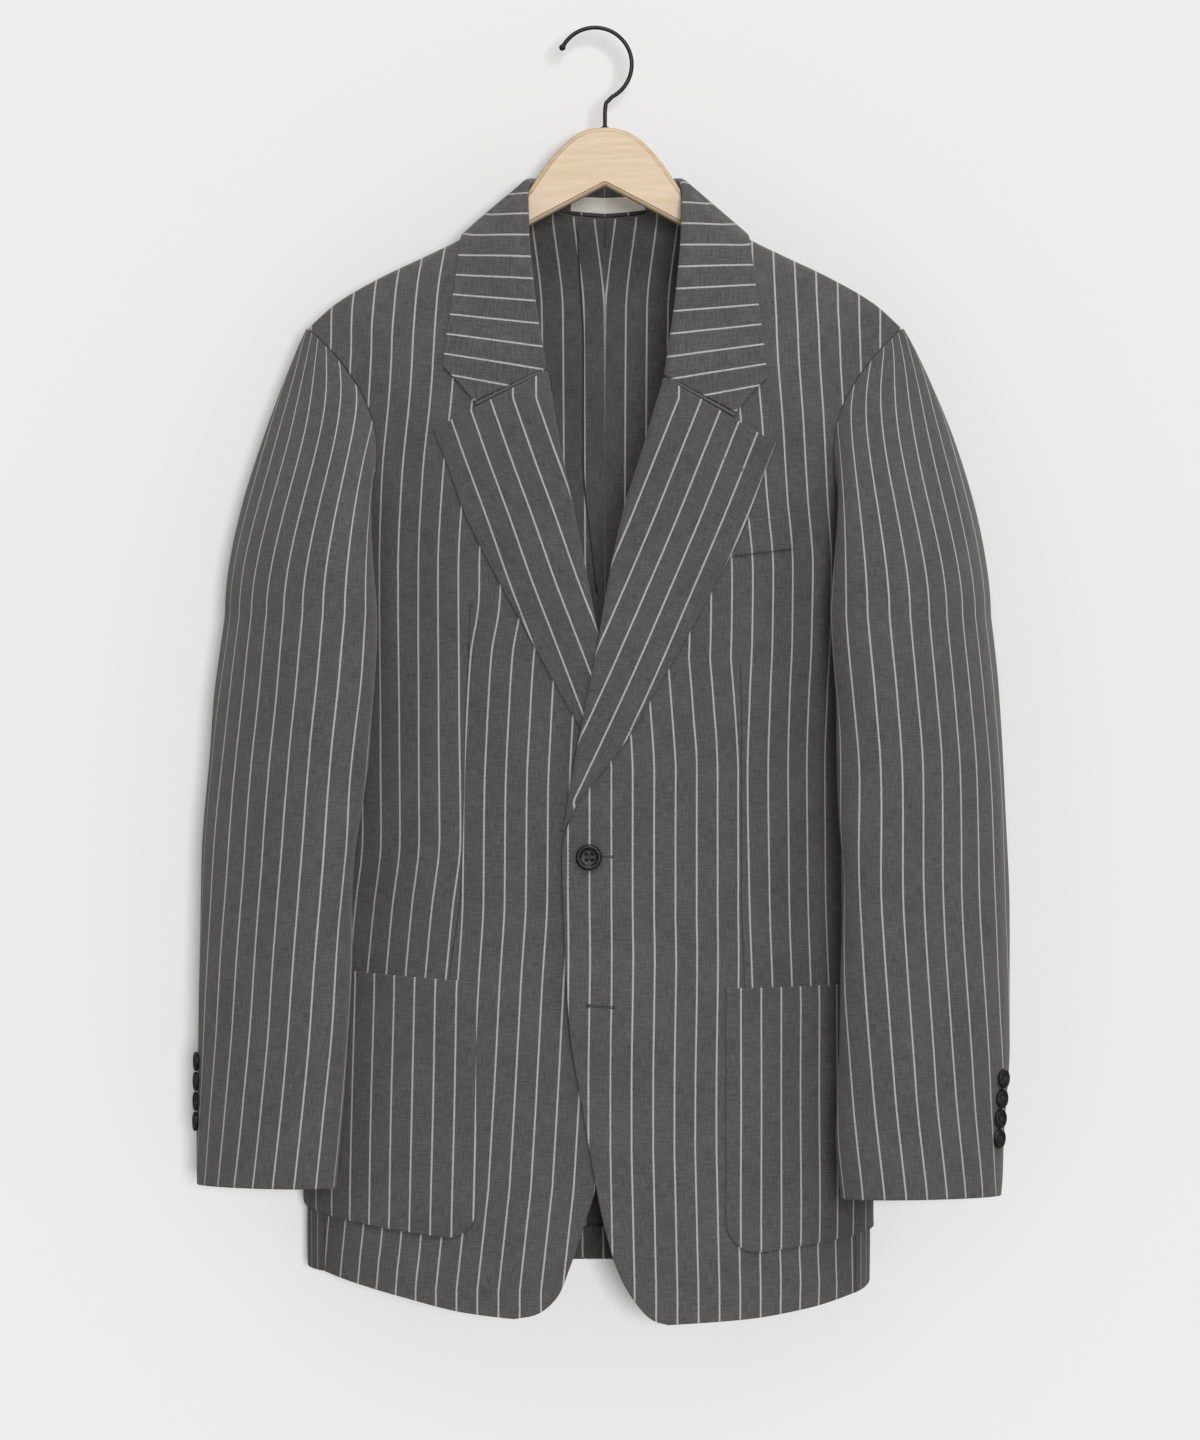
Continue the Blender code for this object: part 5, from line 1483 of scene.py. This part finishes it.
def buttonhole(name, start, end, surface, keyhole, half=0.55):
    """A worked hole from start, where its eye is, to end: two corded lips, with a dark tube between
    them that paints the shade in the slit.
    """
    start, end = np.array(start, float), np.array(end, float)
    length = np.linalg.norm(end - start)
    ahead = (end - start) / length
    aside = np.cross(ahead, (0.0, 1.0, 0.0))
    t = np.linspace(0, 1, 60)
    middle = start + ahead * length * t[:, None]
    eye = keyhole * np.exp(-((t * length - 1.2) / 1.1) ** 2)
    lip = aside * (half + eye)[:, None]
    turn = np.linspace(0, math.pi, 9)[1:-1, None]
    bow, across = half * ahead * np.sin(turn), half * aside * np.cos(turn)
    cord = LIP + 0.06 * np.sin(t * length * 2 * math.pi / 0.8)
    plain = np.full(len(turn), LIP)
    tube(name, np.concatenate((middle + lip, end + bow + across, (middle - lip)[::-1],
                               start - bow - across)),
         np.concatenate((cord, plain, cord, plain)), 8, surface, close=True)
    # A dark tube in the slit and its eye: painted shade of the cut.
    tube(f"{name}_slit_shade", middle + (0, 0.25, 0), SLIT_SHADE + eye * 0.75, 8, DARK_THREAD_AND_SHADE)
    bar = end + ahead * 0.5 + aside * np.linspace(-BAR_HALF, BAR_HALF, 9)[:, None]
    tube(f"{name}_bar", bar, 0.45, 8, surface)


def front_surface(side, x, z):
    """Depth of the outer face of a front, with its folds."""
    shift = pressed(*pixels(np.array(x), np.array(z)), FRONT_FOLDS[side]) + drape(x, z)
    return float(lapped_y(side, x, z) - 0.5 * SHOULDER_GAP - 0.5 * CLOTH - shift)


def build_buttonholes():
    for name, ends, keyhole in (("front", ((598, 856), (613, 856)), 0.0),
                                ("lower", ((587, 1004), (614, 1006)), 0.55)):
        points = [(x, front_surface(1, x, z) + 0.05, z) for x, z in starmap(place, ends)]
        buttonhole(f"buttonhole_{name}", *points, DARK_THREAD_AND_SHADE, keyhole)
    points = [(x, nearest_y(partial(lapel_point, 1), x, z) - 0.5 * FACING - 0.25, z)
              for x, z in starmap(place, ((717, 456.5), (741, 471)))]
    buttonhole("buttonhole_lapel", *points, THREAD, 0.2, 0.4)


STITCH, STITCH_PITCH, STITCH_RADIUS, STITCH_SIDES = 2.3, 3.4, 0.2, 5
# A stitch from end to end: share of its length, share of its radius and its rise in mm.
STITCH_SHAPE = ((0.0, 0.35, -0.2), (0.18, 0.85, 0.0), (0.5, 1.0, 0.08), (0.82, 0.85, 0.0),
                (1.0, 0.35, -0.2))


def stitching(name, path, out):
    """A row of stitches sunk a little in the cloth along a path, out being its face."""
    run = path_lengths(path)
    starts = np.arange(0.5, run[-1] - STITCH, STITCH_PITCH)
    share_at, thick, lift = np.array(STITCH_SHAPE).T
    at = starts[:, None] + STITCH * share_at
    centre, face = (np.stack([np.interp(at, run, row) for row in rows.T], axis=-1)
                    for rows in (path, out))
    centre = centre + face * lift[:, None]
    aside = unit(np.cross(unit(centre[:, -1] - centre[:, 0])[:, None, :], face))
    turn = np.linspace(0, 2 * math.pi, STITCH_SIDES, endpoint=False)[:, None]
    verts = (centre[:, :, None, :] + (STITCH_RADIUS * thick)[:, None, None]
             * (np.cos(turn) * aside[:, :, None, :] + np.sin(turn) * face[:, :, None, :]))
    rows = len(STITCH_SHAPE)
    faces = [quad for stitch in range(len(starts))
             for quad in ring_faces(rows, STITCH_SIDES, stitch * rows * STITCH_SIDES)]
    made = mesh_object(name, world_points(verts.reshape(-1, 3)), faces, THREAD)
    settle(made)


def along_surface(point, line, wall):
    """Points and face directions just on a piece's outer face along a line of (u, v)."""
    u, v = np.array(line, float).T
    tiny = 0.002

    def at(du, dv):
        return np.stack(point(np.clip(u + du, 0, 1), np.clip(v + dv, 0, 1)), axis=-1)

    out = unit(np.cross(at(tiny, 0) - at(-tiny, 0), at(0, tiny) - at(0, -tiny)))
    out[out @ np.array(TO_FRONT, float) < 0] *= -1
    return at(0, 0) + out * 0.5 * wall, out


def build_stitching():
    def row(name, point, wall, start, end, count, u=None, v=None):
        """Stitches where one of u and v stays and the other goes from start to end."""
        line = [(t if u is None else u, t if v is None else v)
                for t in np.linspace(start, end, count)]
        stitching(f"stitches_{name}", *along_surface(point, line, wall))

    for side, word in SIDES:
        lapel, pocket = partial(lapel_point, side), partial(pocket_point, side)
        row(f"lapel_{word}", lapel, FACING, 0.01, 0.99, 160, u=0.955)
        row(f"lapel_top_{word}", lapel, FACING, 0.45, 0.95, 60, v=0.012)
        row(f"pocket_inner_{word}", pocket, FACING, 0.97, 0.1, 90, u=0.012)
        row(f"pocket_bottom_{word}", pocket, FACING, 0.03, 0.96, 90, v=0.055)
        row(f"pocket_outer_{word}", pocket, FACING, 0.12, 0.97, 70, u=0.985)
        row(f"edge_{word}", partial(front_point, side), CLOTH, 0.005, 0.5, 220, u=0.016)
    row("welt_top", breast_pocket_point, FACING, 0.03, 0.97, 40, v=0.92)
    row("welt_side", breast_pocket_point, FACING, 0.04, 0.96, 30, u=0.965)


build_seams()
build_buttonholes()
build_stitching()

# ------------------------------------------------------------------ buttons
HOLE_AT, HOLE_RADIUS, HOLE_DEPTH = 0.235 * 0.78, 0.095, 0.5     # shares of radius and thickness
BUTTON_STEPS, THREAD_SIDES, THREAD_RADIUS = 72, 6, 0.19
# Across the face from the middle to the rim and back: shares of the radius and the thickness.
FACE_PROFILE = [(r, 0.66) for r in (0.0, 0.10, 0.16, 0.20, 0.24, 0.28, 0.32, 0.38)] + [
    (0.46, 0.665), (0.54, 0.68)]
RIM_PROFILE = [(0.61, 0.73), (0.66, 0.82), (0.70, 0.91), (0.75, 0.98), (0.81, 1.0), (0.87, 0.98),
               (0.93, 0.90), (0.97, 0.77), (1.0, 0.58), (0.99, 0.42), (0.94, 0.22), (0.86, 0.06),
               (0.78, 0.0), (0.4, 0.0), (0.0, 0.0)]


def button(name, centre, out, radius, thickness):
    """A turned four-hole button with its back at centre, facing out, and its thread."""
    out = unit(np.asarray(out, float))
    across = unit(np.cross((0.0, 0.0, 1.0), out))
    up = np.cross(out, across)
    spread, hole = HOLE_AT * radius, HOLE_RADIUS * radius
    turn = np.linspace(0, 2 * math.pi, BUTTON_STEPS, endpoint=False)
    rows = []
    for k, (r, h) in enumerate(FACE_PROFILE + RIM_PROFILE):
        a, b = radius * r * np.cos(turn), radius * r * np.sin(turn)
        height = np.full(BUTTON_STEPS, h * thickness)
        if k < len(FACE_PROFILE):
            for at_a, at_b in ((-1, -1), (-1, 1), (1, -1), (1, 1)):
                far = np.hypot(a - at_a * spread, b - at_b * spread)
                height -= HOLE_DEPTH * thickness * (1 - fade(far, 0.55 * hole, 1.3 * hole))
        rows.append(centre + a[:, None] * across + b[:, None] * up + height[:, None] * out)
    made = mesh_object(name, world_points(np.concatenate(rows)),
                       ring_faces(len(rows), BUTTON_STEPS, inward=True), HORN)
    settle(made, name)
    arch = np.linspace(-1, 1, 9)
    lift = thickness * (0.36 + 0.42 * np.sqrt(np.maximum(1 - arch**4, 0)))
    turn = np.linspace(0, 2 * math.pi, THREAD_SIDES, endpoint=False)[:, None]
    verts, faces = [], []
    for beside in [at * spread + strand for at in (-1, 1) for strand in (-0.3, 0.0, 0.3)]:
        points = centre + beside * across + (arch * spread)[:, None] * up + lift[:, None] * out
        faces += ring_faces(len(points), THREAD_SIDES, len(verts))
        for point, tangent in zip(points, unit(np.gradient(points, axis=0))):
            verts.extend(point + THREAD_RADIUS * (np.cos(turn) * across
                                                  + np.sin(turn) * unit(np.cross(tangent, across))))
    sewn = mesh_object(f"{name}_thread", world_points(np.array(verts)), faces, DARK_THREAD_AND_SHADE)
    settle(sewn)


def build_buttons():
    turn = np.linspace(0, 2 * math.pi, 12)
    for name, z in BUTTON_HEIGHTS.items():
        side = 1 if name == "button_front" else -1
        rim = lapped_y(side, BUTTON_X + BUTTON_RADIUS * np.cos(turn),
                       z + BUTTON_RADIUS * np.sin(turn))
        y = float(rim.min()) - 0.5 * SHOULDER_GAP - 0.5 * CLOTH - SEAM_GAP
        button(name, np.array((BUTTON_X, y, z)), TO_FRONT, BUTTON_RADIUS, BUTTON_THICKNESS[name])
    for side, word in SIDES:
        for index in range(CUFF_BUTTONS):
            z = CUFF_BUTTON_TOP[side] - CUFF_BUTTON_PITCH * index
            before, point, after = (
                sleeve_level(side, np.array(CUFF_BUTTON_ANGLE[side] + turned), np.array(z))
                for turned in (-0.01, 0, 0.01))
            along = after - before
            out = side * np.array((-along[1], along[0], 0.0)) / np.linalg.norm(along)
            button(f"cuff_button_{word}_{index + 1}", point + out * (0.5 * CLOTH + 1.2 * SEAM_GAP),
                   out, CUFF_BUTTON_RADIUS, CUFF_BUTTON_THICKNESS)


build_buttons()

# ------------------------------------------------------------------ camera, light and surroundings
PLANE_Y, DISTANCE, SENSOR = -0.030, 4.5, 36.0
FRAME_PX = 1200, 1440
camera_data = bpy.data.cameras.new("camera")
camera_data.sensor_width = SENSOR
camera_data.lens = SENSOR * DISTANCE / (FRAME_PX[1] * PX * MM)
camera = bpy.data.objects.new("camera", camera_data)
camera_x, camera_z = place(*(0.5 * side for side in FRAME_PX))
camera.location = ((camera_x + HANG_X) * MM, PLANE_Y - DISTANCE, camera_z * MM)
camera.rotation_euler = (math.pi / 2, 0, 0)
bpy.context.scene.collection.objects.link(camera)
bpy.context.scene.camera = camera
bpy.context.scene.view_settings.view_transform = "Standard"


WALL_Y, FLOOR_Z, SPREAD = 0.062, -1.085, 4.0
PAPER, GLOW = (0.78, 0.78, 0.78, 1), 0.058


def backdrop(name, corners, only_front):
    """A plain pale plane that only the camera sees, the wall only from its front."""
    mesh = bpy.data.meshes.new(name)
    mesh.from_pydata(corners, [], [(0, 1, 2, 3)])
    made = bpy.data.objects.new(name, mesh)
    bpy.context.scene.collection.objects.link(made)
    look = bpy.data.materials.new(name)
    look.use_nodes = True
    n = Nodes(look.node_tree)
    look.node_tree.nodes.clear()
    paper = n.add("ShaderNodeBsdfDiffuse", {"Color": PAPER})
    light = n.add("ShaderNodeEmission", {"Color": PAPER, "Strength": GLOW})
    both = n.add("ShaderNodeAddShader", {0: paper.outputs[0], 1: light.outputs[0]})
    seen = n.add("ShaderNodeLightPath").outputs["Is Camera Ray"]
    if only_front:
        front = n.math("SUBTRACT", 1.0, n.add("ShaderNodeNewGeometry").outputs["Backfacing"])
        seen = n.math("MULTIPLY", seen, front)
    clear = n.add("ShaderNodeBsdfTransparent")
    result = n.add("ShaderNodeMixShader", {0: seen, 1: clear.outputs[0], 2: both.outputs[0]})
    n.add("ShaderNodeOutputMaterial", {"Surface": result.outputs[0]})
    mesh.materials.append(look)
    made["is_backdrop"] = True


SQUARE = [(a * SPREAD, b * SPREAD) for a, b in ((-1, -1), (1, -1), (1, 1), (-1, 1))]
backdrop("wall", [(a, WALL_Y, b) for a, b in SQUARE], True)
backdrop("floor", [(a, b, FLOOR_Z) for a, b in SQUARE], False)


def lamp(name, lit, energy, toward, wide):
    """A sun that shines toward a direction on one collection, wide degrees across."""
    data = bpy.data.lights.new(name, "SUN")
    data.energy = energy
    data.angle = math.radians(wide)
    made = bpy.data.objects.new(name, data)
    x, y, z = toward
    made.rotation_euler = (math.pi / 2 + math.atan2(z, math.hypot(x, y)), 0, math.atan2(-x, y))
    made.light_linking.receiver_collection = lit
    bpy.context.scene.collection.objects.link(made)


garment = bpy.data.collections.new("lit_garment")
surroundings = bpy.data.collections.new("lit_surroundings")
for thing in bpy.context.scene.objects:
    if thing.type in {"MESH", "CURVE"}:
        (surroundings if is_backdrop(thing) else garment).objects.link(thing)
lamp("wall_key", surroundings, 2.25, (-0.11, 1.0, -0.01), 13)
lamp("front", garment, 1.5, (-0.12, 1.0, -0.12), 16)
lamp("high", garment, 0.95, (-0.1, 0.75, -0.8), 30)
lamp("right", garment, 0.38, (-0.85, 0.55, -0.45), 30)
lamp("above", garment, 0.45, (0.0, 0.6, -1.0), 40)
lamp("behind", garment, 1.0, (-0.3, -1.0, -0.5), 40)

world = bpy.data.worlds.new("studio")
world.use_nodes = True
sky = world.node_tree.nodes["Background"].inputs
sky["Color"].default_value = (0.84, 0.84, 0.845, 1)
sky["Strength"].default_value = 0.38
bpy.context.scene.world = world
